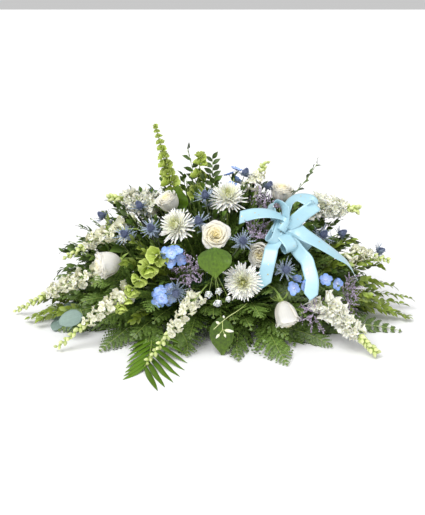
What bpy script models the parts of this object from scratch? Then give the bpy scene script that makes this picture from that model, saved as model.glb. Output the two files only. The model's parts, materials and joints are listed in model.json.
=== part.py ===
"""A casket spray: cut flowers and greenery standing in a soaked foam block in a plastic tray, with a ribbon bow.

Metres, +Z up. The origin is the middle of the tray's underside, and the spray's front looks along -Y.
"""

import math

import bmesh
import bpy
import numpy as np
from mathutils.bvhtree import BVHTree

# The holder: a soaked foam block that stands in a shallow plastic tray
FOAM_HALF = np.array([0.230, 0.055])
FOAM_BASE = 0.0033
FOAM_TOP = 0.100
TRAY_HALF = np.array([0.240, 0.065])
TRAY_CORNER = 0.016
TRAY_WALL = 0.0025
TRAY_FLOOR = 0.003
TRAY_HEIGHT = 0.036
CORNER_STEPS = 2

# Holes in the foam, and how the stems stand in them
HOLE_PLAY = 0.0004
STEM_DEPTH = 0.026
HOLE_DEPTH = 0.0268
MOUTH = 0.008
HOLE_PITCH = 0.033
TOP_ROWS = (-0.018, 0.0, 0.018)
SIDE_ROWS = (0.060, 0.083)
END_ROWS = (-0.030, 0.0, 0.030)
MARGIN = 0.035

# Clearances
STEM_GAP = 0.0012
LEAF_GAP = 0.0007
FLOOR_GAP = 0.0015
SEAT_GAP = 0.0003
BLADE = 0.0008
GOLDEN_ANGLE = math.pi * (3 - math.sqrt(5))

# Roses: middle of the bloom, the way it faces, and how far it has opened
ROSES = {
    "center": ((0.007, -0.155, 0.300), (0.05, -0.85, 0.52), 1.0),
    "left": ((-0.280, -0.155, 0.220), (-0.92, -0.35, -0.12), 0.35),
    "upper_left": ((-0.124, -0.020, 0.349), (-0.45, -0.25, 0.85), 0.10),
    "upper_right": ((0.200, 0.055, 0.352), (0.10, -0.15, 1.00), 0.25),
    "lower_right": ((0.196, -0.240, 0.112), (0.30, -0.42, -0.86), 0.25),
    "under_bow": ((0.137, -0.142, 0.240), (-0.40, -0.85, 0.10), 0.50),
    "back": ((-0.150, 0.190, 0.262), (-0.25, 0.80, 0.55), 0.90),
}
ROSE_RADIUS = 0.034
ROSE_HEIGHT = 0.060

# Spider chrysanthemums: middle of the bloom and the way it faces
MUMS = {
    "upper_left": ((-0.100, -0.125, 0.318), (-0.35, -0.65, 0.65)),
    "top": ((0.044, -0.010, 0.364), (0.00, -0.55, 0.83)),
    "lower": ((0.083, -0.228, 0.193), (-0.05, -0.95, 0.25)),
    "back": ((0.060, 0.205, 0.262), (0.10, 0.80, 0.55)),
}
MUM_RADIUS = 0.050

# Spikes: where the flowers begin on the stem, and the tip
SPIKES = {
    "snapdragon_far_left": ((-0.330, -0.115, 0.168), (-0.578, -0.030, 0.016)),
    "snapdragon_left_front": ((-0.235, -0.215, 0.155), (-0.424, -0.270, 0.018)),
    "snapdragon_front": ((-0.040, -0.250, 0.160), (-0.172, -0.365, 0.022)),
    "stock_right_front": ((0.298, -0.215, 0.130), (0.440, -0.308, 0.022)),
    "snapdragon_upper_left": ((-0.262, -0.075, 0.285), (-0.426, -0.035, 0.186)),
    "stock_upper_left": ((-0.170, 0.020, 0.325), (-0.298, 0.040, 0.344)),
    "stock_upper_right": ((0.285, 0.040, 0.312), (0.422, 0.042, 0.308)),
    "snapdragon_top": ((0.108, 0.060, 0.365), (0.155, 0.075, 0.438)),
    "snapdragon_right": ((0.390, -0.055, 0.205), (0.514, 0.010, 0.162)),
    "snapdragon_back": ((-0.260, 0.190, 0.215), (-0.390, 0.290, 0.110)),
}
BELLS = {
    "bells_tall": ((-0.118, 0.058, 0.360), (-0.162, 0.075, 0.545)),
    "bells_top": ((-0.046, 0.070, 0.350), (-0.034, 0.078, 0.452)),
    "bells_left": ((-0.150, -0.200, 0.255), (-0.250, -0.240, 0.120)),
}

# Branching stems: the heads that each one carries
DELPHINIUMS = {
    "delphinium_left": ((-0.113, -0.196, 0.262), (-0.140, -0.238, 0.150)),
    "delphinium_right": ((0.328, -0.168, 0.168), (0.238, -0.206, 0.172)),
    "delphinium_back": ((0.062, 0.075, 0.392), (-0.045, 0.215, 0.235)),
}
THISTLES = {
    "thistle_left": ((-0.315, 0.030, 0.285), (-0.176, 0.070, 0.338), (-0.205, -0.010, 0.328)),
    "thistle_front_left": ((-0.240, -0.110, 0.283), (-0.168, -0.120, 0.304), (-0.100, -0.245, 0.170)),
    "thistle_center": ((-0.036, -0.128, 0.326), (0.081, -0.165, 0.285), (0.196, -0.205, 0.218)),
    "thistle_top": ((-0.020, -0.035, 0.368), (0.092, 0.062, 0.402), (0.160, 0.055, 0.365)),
    "thistle_right": ((0.309, -0.075, 0.267), (0.367, -0.010, 0.246), (0.484, 0.020, 0.182)),
}
STATICES = {
    "statice_center": ((0.132, -0.118, 0.300), (-0.065, -0.212, 0.220), (0.158, 0.020, 0.340)),
    "statice_right": ((0.284, -0.235, 0.100), (0.390, -0.155, 0.125), (0.300, 0.150, 0.220)),
}

# Greenery: the tip of each frond or leafy stem
FERNS = {
    "fern_front_left": (
        (-0.310, -0.275, 0.006), (-0.190, -0.300, 0.006), (-0.440, -0.150, 0.008),
        (-0.070, -0.305, 0.008), (-0.175, -0.285, 0.130), (-0.335, -0.178, 0.160)),
    "fern_front_right": (
        (0.070, -0.330, 0.006), (0.200, -0.355, 0.006), (0.330, -0.250, 0.008),
        (0.540, -0.150, 0.006), (0.130, -0.290, 0.115), (0.350, -0.190, 0.165)),
    "fern_back_left": (
        (-0.070, 0.350, 0.006), (-0.240, 0.330, 0.006), (-0.400, 0.170, 0.008),
        (-0.500, 0.020, 0.008), (-0.020, 0.280, 0.150), (-0.330, 0.150, 0.180)),
    "fern_back_right": (
        (0.090, 0.350, 0.006), (0.250, 0.320, 0.006), (0.410, 0.190, 0.008),
        (0.520, 0.060, 0.008), (0.160, 0.270, 0.150), (0.370, 0.120, 0.190)),
}
PALMS = {"palm_front": ((-0.180, -0.372, 0.010),)}
RUSCUSES = {
    "ruscus_left": ((-0.530, -0.090, 0.020), (-0.330, 0.190, 0.240)),
    "ruscus_top": ((-0.074, 0.105, 0.472), (0.000, 0.110, 0.440), (0.306, 0.090, 0.432)),
    "ruscus_right": ((0.592, 0.000, 0.040), (0.572, -0.075, 0.016), (0.330, 0.210, 0.235)),
}
EUCALYPTUSES = {"eucalyptus_left": ((-0.440, -0.110, 0.020),)}
# Salal leaves: tip, the way the leaf points, and its length and half width
SALALS = {
    "salal_front": (((0.008, -0.262, 0.222), (0.05, -0.35, -0.90), (0.098, 0.043)),
                    ((0.028, -0.300, 0.006), (0.05, -0.35, -0.90), (0.130, 0.036))),
    "salal_upper": (((-0.100, -0.015, 0.392), (0.10, -0.15, 1.00), (0.090, 0.034)),
                    ((-0.085, 0.205, 0.300), (0.10, 0.75, 0.45), (0.110, 0.038))),
}

# The bow, a ribbon wired at one knot. Each row is a place on a band's middle line, in millimetres from the knot to the
# right, up and out of the bow's face, and then the direction across the band in the same three.
RIBBON = 0.038
RIBBON_THICK = 0.0010
KNOT = np.array([0.196, -0.132, 0.304])
BOW_FACING = np.array([0.0, -0.80, 0.60])
BOW_AXES = np.array([[1, 0, 0], [0, 0.375, 0.927], [0, -0.927, 0.375]])
BANDS = {
    "left_tail": ((4, 10, -2, 10, 55, -80), (0, 34, 4, 0, 50, -85), (-21, 44, 12, 0, 55, -80), (-50, 49, 16, 5, 70, -70),
                  (-85, 47, 10, 20, 85, -50), (-126, 36, -4, 29, 94, -20)),
    "arch": ((2, 4, 0, 50, -30, 80), (6, 36, -12, 50, -15, 85), (12, 66, -18, 50, -20, 85), (26, 88, -18, 25, -45, 85),
             (48, 94, -10, 5, -60, 80), (70, 85, 4, 35, -75, 55), (80, 71, 14, 60, -75, 25), (72, 60, 20, 67, -73, 10),
             (55, 48, 20, 69, -72, 5), (32, 28, 14, 69, -72, 0), (8, 8, 5, 69, -72, 0)),
    "small_loop": ((-2, 4, 0, 40, 10, 90), (-20, 32, -14, 45, 30, 85), (-32, 58, -18, 50, 30, 80),
                   (-25, 76, -16, 38, 20, 90), (-10, 76, -8, 40, 0, 90), (3, 58, 6, 50, -5, 85),
                   (5, 36, 10, 50, -5, 85), (4, 8, 6, 50, 0, 85)),
    "side_loop": ((4, -4, -6, 30, 50, 80), (45, -20, -12, 30, 50, 80), (70, -32, -10, 30, 50, 80),
                  (74, -40, -4, 30, 50, 80), (58, -40, 4, 30, 50, 80), (28, -20, 4, 30, 50, 80), (6, -4, 2, 30, 50, 80)),
    "lower_left_tail": ((-2, -3, -2, 95, 20, 20), (-26, -36, 16, 95, 10, 25), (-39, -68, 34, 95, -20, 20),
                        (-45, -93, 40, 95, -20, 15), (-52, -122, 38, 95, -25, 10), (-57, -153, 32, 93, -30, 0),
                        (-62, -174, 26, 90, -35, 0)),
    "middle_tail": ((2, -4, -2, 70, 50, 30), (42, -58, 12, 75, 60, 25), (58, -76, 22, 85, 45, 25),
                    (67, -103, 34, 95, 20, 20), (73, -129, 43, 98, 10, 10), (73, -155, 50, 98, 0, 5),
                    (68, -190, 58, 97, -15, 0)),
    "right_tail": ((2, 0, 0, 50, 80, 0), (28, 8, 8, 40, 90, 10), (57, -11, 14, 45, 85, -30), (99, -36, 16, 42, 60, -65),
                   (143, -65, 14, 35, 42, -80), (185, -102, 12, 15, 15, -95), (204, -141, 14, 10, -10, -98)),
}
# Bands rolled round an axis: the roll's middle, its axis, its radius and its first and last turn in degrees
ROLLS = {
    "lower_left_roll": ((-27, -23, 6), (-75, 50, 45), 16, (0, 330)),
    "lower_right_roll": ((14, -42, 10), (-85, -38, 35), 16, (0, 330)),
    "wrap": ((1, 18, 2), (-50, -85, 0), 15, (-30, 210)),
}
BOW_STEPS = 9

COLOURS = {
    "tray": (0.030, 0.120, 0.045, 0.45), "foam": (0.055, 0.200, 0.080, 0.95), "pick": (0.120, 0.260, 0.090, 0.80),
    "ribbon": (0.470, 0.740, 0.860, 0.35), "cream": (0.900, 0.850, 0.700, 0.60), "white": (0.900, 0.900, 0.820, 0.60),
    "stem": (0.130, 0.260, 0.060, 0.60), "bells": (0.420, 0.600, 0.110, 0.55), "blue": (0.150, 0.300, 0.800, 0.55),
    "thistle": (0.130, 0.190, 0.300, 0.70), "lilac": (0.480, 0.380, 0.600, 0.80), "fern": (0.040, 0.140, 0.030, 0.50),
    "palm": (0.080, 0.260, 0.030, 0.45), "ruscus": (0.090, 0.210, 0.040, 0.50),
    "eucalyptus": (0.200, 0.310, 0.260, 0.70), "salal": (0.050, 0.220, 0.020, 0.35),
}


def unit(vector):
    """The vector at length one."""
    vector = np.asarray(vector, float)
    return vector / max(np.linalg.norm(vector), 1e-12)


def basis(axis):
    """Two directions square to the axis and to each other."""
    axis = unit(axis)
    guide = np.array([0.0, 0.0, 1.0]) if abs(axis[2]) < 0.9 else np.array([1.0, 0.0, 0.0])
    side = unit(np.cross(guide, axis))
    return side, np.cross(axis, side)


def cubic(controls, steps):
    """Points along a cubic Bezier curve."""
    t = np.linspace(0, 1, steps)[:, None]
    a, b, c, d = (np.asarray(p, float) for p in controls)
    return (1 - t) ** 3 * a + 3 * (1 - t) ** 2 * t * b + 3 * (1 - t) * t * t * c + t ** 3 * d


def evenly(points, count):
    """The same line with its points evenly spaced along it."""
    reach = np.concatenate([[0], np.cumsum(np.linalg.norm(np.diff(points, axis=0), axis=1))])
    wanted = np.linspace(0, reach[-1], count)
    return np.stack([np.interp(wanted, reach, points[:, k]) for k in range(3)], axis=1)


def length_of(points):
    """How long a line of points is."""
    return float(np.linalg.norm(np.diff(points, axis=0), axis=1).sum())


def cut_line(points, low, high, count):
    """The stretch of a line between two lengths along it."""
    reach = np.concatenate([[0], np.cumsum(np.linalg.norm(np.diff(points, axis=0), axis=1))])
    wanted = np.linspace(low, high, count)
    return np.stack([np.interp(wanted, reach, points[:, k]) for k in range(3)], axis=1)


# Where stems may enter the foam, and the way out of it there


def hole_places():
    """Every place for a hole as (point, outward normal)."""
    places = []
    columns = np.arange(-6, 7) * HOLE_PITCH
    for x in columns[np.abs(columns) < FOAM_HALF[0] - MARGIN]:
        places += [((x, y, FOAM_TOP), (0, 0, 1)) for y in TOP_ROWS]
    for way in (-1, 1):
        for k, z in enumerate(SIDE_ROWS):
            row = columns + (k - 0.5) * HOLE_PITCH / 2
            places += [((x, way * FOAM_HALF[1], z), (0, way, 0)) for x in row]
        places += [((way * FOAM_HALF[0], y, z), (way, 0, 0)) for y in END_ROWS for z in SIDE_ROWS]
    return [(np.array(p, float), np.array(n, float)) for p, n in places]


def wanted_hole(goal):
    """Where the straight line from a stem's goal to the foam's middle line meets the foam."""
    middle = np.array([np.clip(0.42 * goal[0], -0.17, 0.17), 0, 0.055])
    half = np.array([FOAM_HALF[0], FOAM_HALF[1], FOAM_TOP - middle[2]])
    step = goal - middle
    room = np.where(np.abs(step) > 1e-9, (half - middle * np.sign(step) * (1, 1, 0)) / np.abs(step).clip(1e-9), 9)
    return middle + step * min(room.min(), 1)


def free_curve(point, out, shoot, swing):
    """A stem's curve from a point, leaving it along one direction, to the shoot's end along its heading."""
    goal, heading = shoot["via"], shoot["heading"]
    ahead = goal - heading * min(shoot["reach"], 0.45 * np.linalg.norm(goal - point))
    side, up = basis(out)
    push = side * swing[0] + up * swing[1]
    lean = point + out * 0.35 * np.linalg.norm(ahead - point) + push
    line = evenly(cubic((point, lean, ahead + push * 0.5, goal), 60), shoot["steps"] + 1)
    return np.vstack([line, shoot["end"]]) if shoot["end"] is not goal else line


def route(hole, shoot, swing):
    """A stem's line from inside the foam to its end: straight in the foam, then one free curve."""
    point, normal = hole
    out = unit(0.45 * normal + unit(shoot["via"] - shoot["heading"] * shoot["reach"] - point))
    if out @ normal < 0.5:
        out = unit(out + normal * 0.5)
    return np.vstack([point - out * STEM_DEPTH, free_curve(point + out * MOUTH, out, shoot, swing)])


def branch(trunk, start, shoot, swing):
    """A side branch's line, from the trunk's middle line at one length along it to the branch's end."""
    point, beyond = cut_line(trunk, start, start + 0.004, 2)
    along, toward = unit(beyond - point), unit(shoot["via"] - shoot["heading"] * shoot["reach"] - point)
    out = unit(toward + 0.6 * unit(toward - along * (toward @ along)))
    return free_curve(point, out, shoot, swing)


class Space:
    """Balls that stand for everything in place, which tell how much room a new stem has."""

    def __init__(self):
        self.centres, self.radii, self.owners = np.zeros((0, 3)), np.zeros(0), np.zeros(0, int)

    def add(self, centres, radii, owner):
        centres = np.atleast_2d(centres)
        self.centres = np.vstack([self.centres, centres])
        self.radii = np.concatenate([self.radii, np.broadcast_to(radii, len(centres))])
        self.owners = np.concatenate([self.owners, np.full(len(centres), owner)])

    def room(self, centres, radii, owner, joined):
        """The least gap to everything else; a branch's first stretch, as long as joined, may be near its trunk."""
        gaps = np.linalg.norm(centres[:, None] - self.centres[None], axis=2) - self.radii[None] - radii[:, None]
        own = self.owners[None] == owner
        far = np.linalg.norm(centres - centres[0], axis=1)
        near = (far[:, None] < joined) & (np.linalg.norm(self.centres - centres[0], axis=1)[None] < joined * 1.3)
        room = np.where(own & (near | (joined == 0)), 9, gaps).min(initial=9)
        # clear of the foam and the tray too, from a little way out of its own hole
        free = far > (STEM_DEPTH + MOUTH if joined == 0 else 0)
        for half, low, high in ((FOAM_HALF, 0, FOAM_TOP), (TRAY_HALF, 0, TRAY_HEIGHT)):
            beyond = np.column_stack([np.abs(centres[:, :2]) - half, centres[:, 2] - high, low - centres[:, 2]])
            outside = np.linalg.norm(np.maximum(beyond, 0), axis=1) - radii
            room = min(room, np.where(free, outside, 9).min())
        return float(room)


SWINGS = [(0, 0)] + [
    (r * math.cos(a), r * math.sin(a)) for r in (0.012, 0.024, 0.040) for a in np.arange(6) * math.pi / 3]


def balls_along(line, shoot):
    """Balls along a stem, fatter in its last stretch where it carries flowers or leaves."""
    dense = evenly(line, max(int(length_of(line) / 0.004), 8))
    left = np.linspace(length_of(line), 0, len(dense))
    return dense, np.where(left < shoot["zone"], shoot["zone_radius"], shoot["radius"]) + 0.0006


def settle(shoots, space):
    """Gives each shoot a line: from the nearest free hole, or out of the trunk of its own plant."""
    places, taken, trunks, routes = hole_places(), set(), {}, {}
    for shoot in shoots:
        owner = shoot["owner"]
        goal = wanted_hole(shoot["goal"])
        if owner in trunks:
            trunk = trunks[owner]
            total = length_of(trunk) - STEM_DEPTH
            starts = [max(STEM_DEPTH + share * total, STEM_DEPTH + MOUTH + 0.012) for share in shoot["forks"]]
            used = [r["start"] for r in routes[shoot["name"]][1:]]
            choices = [(s, None) for s in starts if all(abs(s - u) > 0.0075 for u in used)]
            choices.sort(key=lambda choice: -min([abs(choice[0] - u) for u in used], default=0) // 0.006)
        else:
            free = [k for k in range(len(places)) if k not in taken]
            free.sort(key=lambda k: np.linalg.norm(places[k][0] - goal))
            choices = [(None, k) for k in free[:7]]
        best = None
        for swing in SWINGS:
            for start, k in choices:
                line = route(places[k], shoot, swing) if start is None else branch(trunk, start, shoot, swing)
                balls = balls_along(line, shoot)
                room = space.room(*balls, owner, 0.0 if start is None else 0.014) - STEM_GAP
                if best is None or room > best[0]:
                    best = (room, start, k, line, balls)
                if room >= 0:
                    break
            if best[0] >= 0:
                break
        room, start, k, line, balls = best
        if start is None:
            taken.add(k)
            trunks[owner] = line
        space.add(*balls, owner)
        routes.setdefault(shoot["name"], []).append({"line": line, "start": start, "shoot": shoot})
        if room < 0:
            print(f"{shoot['name']} lacks {-room * 1000:.1f} mm of room")
    return routes


# Plants: one closed body each, in which branches, leaves and flowers grow out of the faces of a stem


def bands(first, second):
    """The faces between two rings of points, which may differ in number."""
    m, n = len(first), len(second)
    if n == 1:
        return [[first[k], first[(k + 1) % m], second[0]] for k in range(m)]
    if m == 1:
        return [[first[0], second[(k + 1) % n], second[k]] for k in range(n)]
    if m == n:
        # each quad begins at the corner from which it is split, so that a thin blade is split alike on both sides
        quads = [[first[k], first[(k + 1) % m], second[(k + 1) % m], second[k]] for k in range(m)]
        return [quad if k < m / 2 else quad[1:] + quad[:1] for k, quad in enumerate(quads)]
    faces, i, j = [], 0, 0
    while i < m or j < n:
        if i < m and (i + 0.5) / m < (j + 0.5) / n:
            faces.append([first[i], first[(i + 1) % m], second[j % n]])
            i += 1
        else:
            faces.append([first[i % m], second[(j + 1) % n], second[j]])
            j += 1
    return faces


class Plant:
    """A closed body through rings of points, whose faces can be replaced by what grows out of them."""

    def __init__(self, rings):
        self.points, self.faces, self.count = [], {}, 0
        first = self.add_ring(rings[0])
        if len(first) > 2:
            self.add_face(first[::-1])
        self.walls = self.climb(first, rings[1:])

    def add_ring(self, ring):
        start = len(self.points)
        self.points.extend(np.asarray(point, float) for point in ring)
        return list(range(start, len(self.points)))

    def add_face(self, face):
        self.count += 1
        self.faces[self.count] = face
        return self.count

    def climb(self, current, rings):
        """Adds the faces up through the rings and a cap, and gives the faces between each two rings."""
        walls = []
        for ring in rings:
            following = self.add_ring(ring)
            walls.append([self.add_face(face) for face in bands(current, following)])
            current = following
        if len(current) > 2:
            walls.append([self.add_face(current)])
        return walls

    def corners(self, face):
        return [self.points[k] for k in self.faces[face]]

    def grow(self, face, rings):
        """Replaces a face by rings that grow out of it, turned so that they start without a twist."""
        base = self.faces.pop(face)
        if len(rings[0]) == len(base):
            spots = [self.points[k] for k in base]
            turns = [sum(np.linalg.norm(spots[(k + t) % len(base)] - rings[0][k]) for k in range(len(base)))
                     for t in range(len(base))]
            best = int(np.argmin(turns))
            base = base[best:] + base[:best]
        return self.climb(base, rings)

    def leaflet(self, face, outline, half, left):
        """Replaces a side face of a rib by a flat leaflet, split alike on its two sides."""
        near, other, far_other, far = self.faces.pop(face)
        if left:
            near, other, far_other, far = near, far, far_other, other
        start = len(self.points)
        for spot in outline:
            self.points += [spot + half, spot - half]
        tops = [near] + [start + 2 * n for n in range(len(outline))] + [far]
        lows = [other] + [start + 2 * n + 1 for n in range(len(outline))] + [far_other]
        splits = {1: [(0, 1, 2)], 2: [(0, 1, 3), (1, 2, 3)], 3: [(0, 1, 4), (1, 3, 4), (1, 2, 3)]}
        for triple in splits[len(outline)]:
            self.add_face([tops[n] for n in triple])
            self.add_face([lows[n] for n in triple[::-1]])
        for n in range(len(tops) - 1):
            self.add_face([tops[n], tops[n + 1], lows[n + 1], lows[n]])

    def solid(self):
        """Its points, and its faces split into triangles."""
        faces = [[face[0], face[k], face[k + 1]] for face in self.faces.values() for k in range(1, len(face) - 1)]
        return np.array(self.points), faces


def circle(centre, axis, radius, count, first=None):
    """A ring of points round an axis, the first of them on the side of a given point."""
    axis = unit(axis)
    if first is None:
        side, up = basis(axis)
    else:
        side = unit((first - centre) - axis * ((first - centre) @ axis))
        up = np.cross(axis, side)
    turns = np.arange(count) * 2 * math.pi / count
    radius = np.broadcast_to(radius, count)
    return centre + radius[:, None] * (np.outer(np.cos(turns), side) + np.outer(np.sin(turns), up))


def tube_rings(line, radii, sides=4):
    """Rings along a line that keep their turn, each with its own radius."""
    ahead = np.gradient(np.asarray(line, float), axis=0)
    side, _ = basis(ahead[0])
    rings = []
    for point, way, radius in zip(line, ahead, np.broadcast_to(radii, len(line))):
        way = unit(way)
        side = unit(side - way * (side @ way))
        rings.append(circle(point, way, radius, sides, point + side))
    return rings


# Meshes, and the test that keeps neighbours apart


class Neighbours:
    """The finished shapes of every node, which tell whether a new leaf or petal is clear of the others."""

    def __init__(self):
        self.shapes = {}

    def add(self, name, solid):
        self.shapes.setdefault(name, []).append(solid)

    def tree_without(self, name):
        return tree_of([solid for other, solids in self.shapes.items() if other != name for solid in solids])


def tree_of(solids):
    """One search tree over several solids."""
    points, faces, start = [], [], 0
    for verts, tris in solids:
        points.append(verts)
        faces += [[a + start, b + start, c + start] for a, b, c in tris]
        start += len(verts)
    return BVHTree.FromPolygons(np.vstack(points).tolist(), faces)


def is_clear(solid, tree, own=()):
    """True when a solid stays off the floor, off everything in the tree and out of its own plant."""
    points, faces = solid
    if points[:, 2].min() < FLOOR_GAP * 0.6:
        return False
    shape = BVHTree.FromPolygons(points.tolist(), faces)
    if shape.overlap(tree) or (own and shape.overlap(tree_of(own))):
        return False
    middles = [(points[a] + points[b] + points[c]) / 3 for a, b, c in faces]
    return all(tree.find_nearest(p, LEAF_GAP)[0] is None for p in [*points, *middles])


def crosses_itself(solid):
    """True when two faces of a solid that share no corner meet."""
    points, faces = solid
    shape = BVHTree.FromPolygons(points.tolist(), faces)
    return any(not set(faces[a]) & set(faces[b]) for a, b in shape.overlap(shape))


class Garden:
    """A plant in the making, with the shapes that its new flowers must stay clear of."""

    def __init__(self, plant, tree):
        self.plant, self.tree, self.own = plant, tree, [plant.solid()]

    def try_grow(self, face, makers):
        """Grows the first of several ever smaller shapes that is clear, and gives its faces."""
        base = np.array(self.plant.corners(face))
        for make in makers:
            rings = make()
            lifted = base + (np.mean(rings[0], axis=0) - base) * 0.06
            trial = Plant([lifted, *rings]).solid()
            if is_clear(trial, self.tree, self.own) and not crosses_itself(Plant([base, *rings]).solid()):
                self.own.append(trial)
                return self.plant.grow(face, rings)
        return None

    def place(self, face):
        """The middle of a face, the way it looks and its first corner."""
        corners = self.plant.corners(face)
        looks = unit(np.cross(corners[2] - corners[0], corners[3] - corners[1]))
        return np.mean(corners, axis=0), looks, corners[0]


def flower(centre, lean, first, length, radius, lobes, notch, dip):
    """The lobed rim of a flower that flares from its root, and the floor of its throat."""
    odd = np.arange(2 * lobes) % 2
    rim = circle(centre, lean, radius * np.where(odd, notch, 1.0), 2 * lobes, first)
    rim = rim + np.outer(length * np.where(odd, 0.93, 1.0), unit(lean))
    return [rim, [centre + unit(lean) * length * (1 - dip)]]


def bud(centre, lean, first, length, radius):
    """A closed bud that swells and comes to a point."""
    return [circle(centre + unit(lean) * length * 0.55, lean, radius, 4, first), [centre + unit(lean) * length]]


def material(name):
    """A plain material in one of the spray's colours."""
    made = bpy.data.materials.get(name)
    if made is None:
        made = bpy.data.materials.new(name)
        made.use_nodes = True
        shader = made.node_tree.nodes["Principled BSDF"]
        shader.inputs["Base Color"].default_value = (*COLOURS[name][:3], 1)
        shader.inputs["Roughness"].default_value = COLOURS[name][3]
    return made


def mesh_object(name, solid, colour, collection=None):
    """An object from a closed solid, with its faces turned outwards."""
    points, faces = solid
    mesh = bpy.data.meshes.new(name)
    mesh.from_pydata([tuple(p) for p in points], [], faces)
    shape = bmesh.new()
    shape.from_mesh(mesh)
    bmesh.ops.recalc_face_normals(shape, faces=shape.faces)
    shape.to_mesh(mesh)
    shape.free()
    mesh.materials.append(material(colour))
    made = bpy.data.objects.new(name, mesh)
    (collection or bpy.context.scene.collection).objects.link(made)
    return made


def combine(base, solids, operation):
    """Joins solids to an object, or cuts them from it, with one Boolean on a collection."""
    helpers = bpy.data.collections.new(base.name + "_helpers")
    bpy.context.scene.collection.children.link(helpers)
    for k, solid in enumerate(solids):
        mesh_object(f"{base.name}_{k}", solid, base.data.materials[0].name, helpers)
    modifier = base.modifiers.new(operation.title(), "BOOLEAN")
    modifier.operation = operation
    modifier.operand_type = "COLLECTION"
    modifier.collection = helpers
    modifier.solver = "EXACT"
    bpy.context.view_layer.objects.active = base
    bpy.ops.object.modifier_apply(modifier=modifier.name)
    for helper in list(helpers.objects):
        bpy.data.objects.remove(helper)
    bpy.data.collections.remove(helpers)
    keep_one_body(base)


def keep_one_body(made):
    """Keeps the largest closed body of an object, so that a sealed hollow is filled and a loose scrap goes."""
    shape = bmesh.new()
    shape.from_mesh(made.data)
    bmesh.ops.triangulate(shape, faces=shape.faces)
    shape.faces.ensure_lookup_table()
    seen, bodies = set(), []
    for start in shape.faces:
        if start.index in seen:
            continue
        body, waiting = [], [start]
        seen.add(start.index)
        while waiting:
            face = waiting.pop()
            body.append(face)
            for edge in face.edges:
                for other in edge.link_faces:
                    if other.index not in seen:
                        seen.add(other.index)
                        waiting.append(other)
        volume = sum(f.verts[0].co.dot(f.verts[1].co.cross(f.verts[2].co)) for f in body) / 6
        bodies.append((volume, body))
    bodies.sort(key=lambda entry: -entry[0])
    scraps = [face for _, body in bodies[1:] for face in body]
    if scraps:
        bmesh.ops.delete(shape, geom=scraps, context="FACES")
    bmesh.ops.delete(shape, geom=[v for v in shape.verts if not v.link_faces], context="VERTS")
    shape.to_mesh(made.data)
    shape.free()


# Stems


def stations(line, low, high, forks):
    """Lengths along a line at its own bends, with a short step at each fork."""
    reach = np.concatenate([[0], np.cumsum(np.linalg.norm(np.diff(line, axis=0), axis=1))])
    steps = [low, high] + [fork + d for fork in forks for d in (-0.003, 0.003)]
    steps += [r for r in reach if low + 0.006 < r < high - 0.006 and all(abs(r - s) > 0.006 for s in steps)]
    return np.array(sorted(steps))


def at_lengths(line, lengths):
    """The points of a line at the given lengths along it."""
    reach = np.concatenate([[0], np.cumsum(np.linalg.norm(np.diff(line, axis=0), axis=1))])
    return np.stack([np.interp(lengths, reach, line[:, k]) for k in range(3)], axis=1)


def grown_stem(routes, tree, radii, zone_steps):
    """A stem with its branches, as a garden and, for each head, the walls of its flowering stretch.

    zone_steps holds the lengths before the end at which the flowering stretch has its rings, longest first.
    """
    walls, garden, trunk_walls = [], None, None
    for way in routes:
        line, total = way["line"], length_of(way["line"])
        bare = total - zone_steps[0]
        if way["start"] is None:
            forks = [other["start"] for other in routes[1:]]
            lengths = stations(line, 0.0, bare, forks)
        else:
            lengths = stations(line, 0.011, bare, [])
        lengths = np.concatenate([lengths, total - np.array(zone_steps[1:])])
        thick = np.interp(lengths, [0, total], radii)
        rings = tube_rings(at_lengths(line, lengths), thick)
        if way["start"] is None:
            garden = Garden(Plant(rings), tree)
            trunk_lengths, trunk_walls = lengths, garden.plant.walls
            walls.append(trunk_walls[-len(zone_steps):])
            continue
        wall = trunk_walls[int(np.searchsorted(trunk_lengths, way["start"])) - 1]
        heading = unit(line[1] - line[0])
        face = max((f for f in wall if f in garden.plant.faces), key=lambda f: garden.place(f)[1] @ heading)
        climbed = garden.plant.grow(face, rings)
        garden.own = [garden.plant.solid()]
        walls.append(climbed[-len(zone_steps):])
    return garden, walls


# Blooms and sprays


def rose_rings(centre, facing, opened):
    """A rose bloom as one raised surface: outer petals, two inner rounds of petals and a rolled heart."""
    facing = unit(facing)
    height = ROSE_HEIGHT * (1 - 0.25 * opened)
    base = centre - facing * height / 2
    rim = 0.74 + 0.34 * opened
    # each ring: its radius and height as shares, how much its lip rises, and the turn of its petals
    shape = ((0.24, 0.00, 0.00, 0.0), (0.80, 0.20, 0.00, 0.0), (1.00, 0.55, 0.02, 0.0), (rim, 0.90, 0.07, 0.0),
             (rim * 0.80, 0.78, 0.04, 0.1), (rim * 0.66, 1.00, 0.06, 0.2), (rim * 0.46, 0.84, 0.04, 0.3),
             (rim * 0.30, 1.02, 0.05, 0.4))
    petals = np.tile([0.0, 1.0, -1.0], 4)
    rings = []
    for radius, level, lip, turn in shape:
        side, up = basis(facing)
        first = side * math.cos(turn) + up * math.sin(turn)
        reach = ROSE_RADIUS * radius * (1 + 0.07 * petals * (lip > 0))
        rise = height * (level + lip * petals * 0.7)
        rings.append(circle(base, facing, reach, len(petals), base + first) + rise[:, None] * facing)
    return [*rings, [base + facing * height * 0.90]]


def rose_stem(way, facing, tree):
    """A green stem that flares to the calyx, with five sepals that bend back."""
    line = way["line"]
    facing = unit(facing)
    top = line[-1] - facing * SEAT_GAP
    points = np.vstack([line[:-1], top - facing * 0.014, top - facing * 0.008, top - facing * 0.004, top])
    radii = [0.0024] * len(line) + [0.0032, 0.0058, 0.0070]
    garden = Garden(Plant(tube_rings(points, radii, 5)), tree)
    for face in list(garden.plant.walls[-3]):
        middle, looks, _ = garden.place(face)
        out = unit(looks - facing * (looks @ facing))
        garden.try_grow(face, [lambda s=s: [[middle + (out - facing * 0.35) * 0.026 * s]] for s in (1, 0.7)])
    return garden.plant


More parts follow.
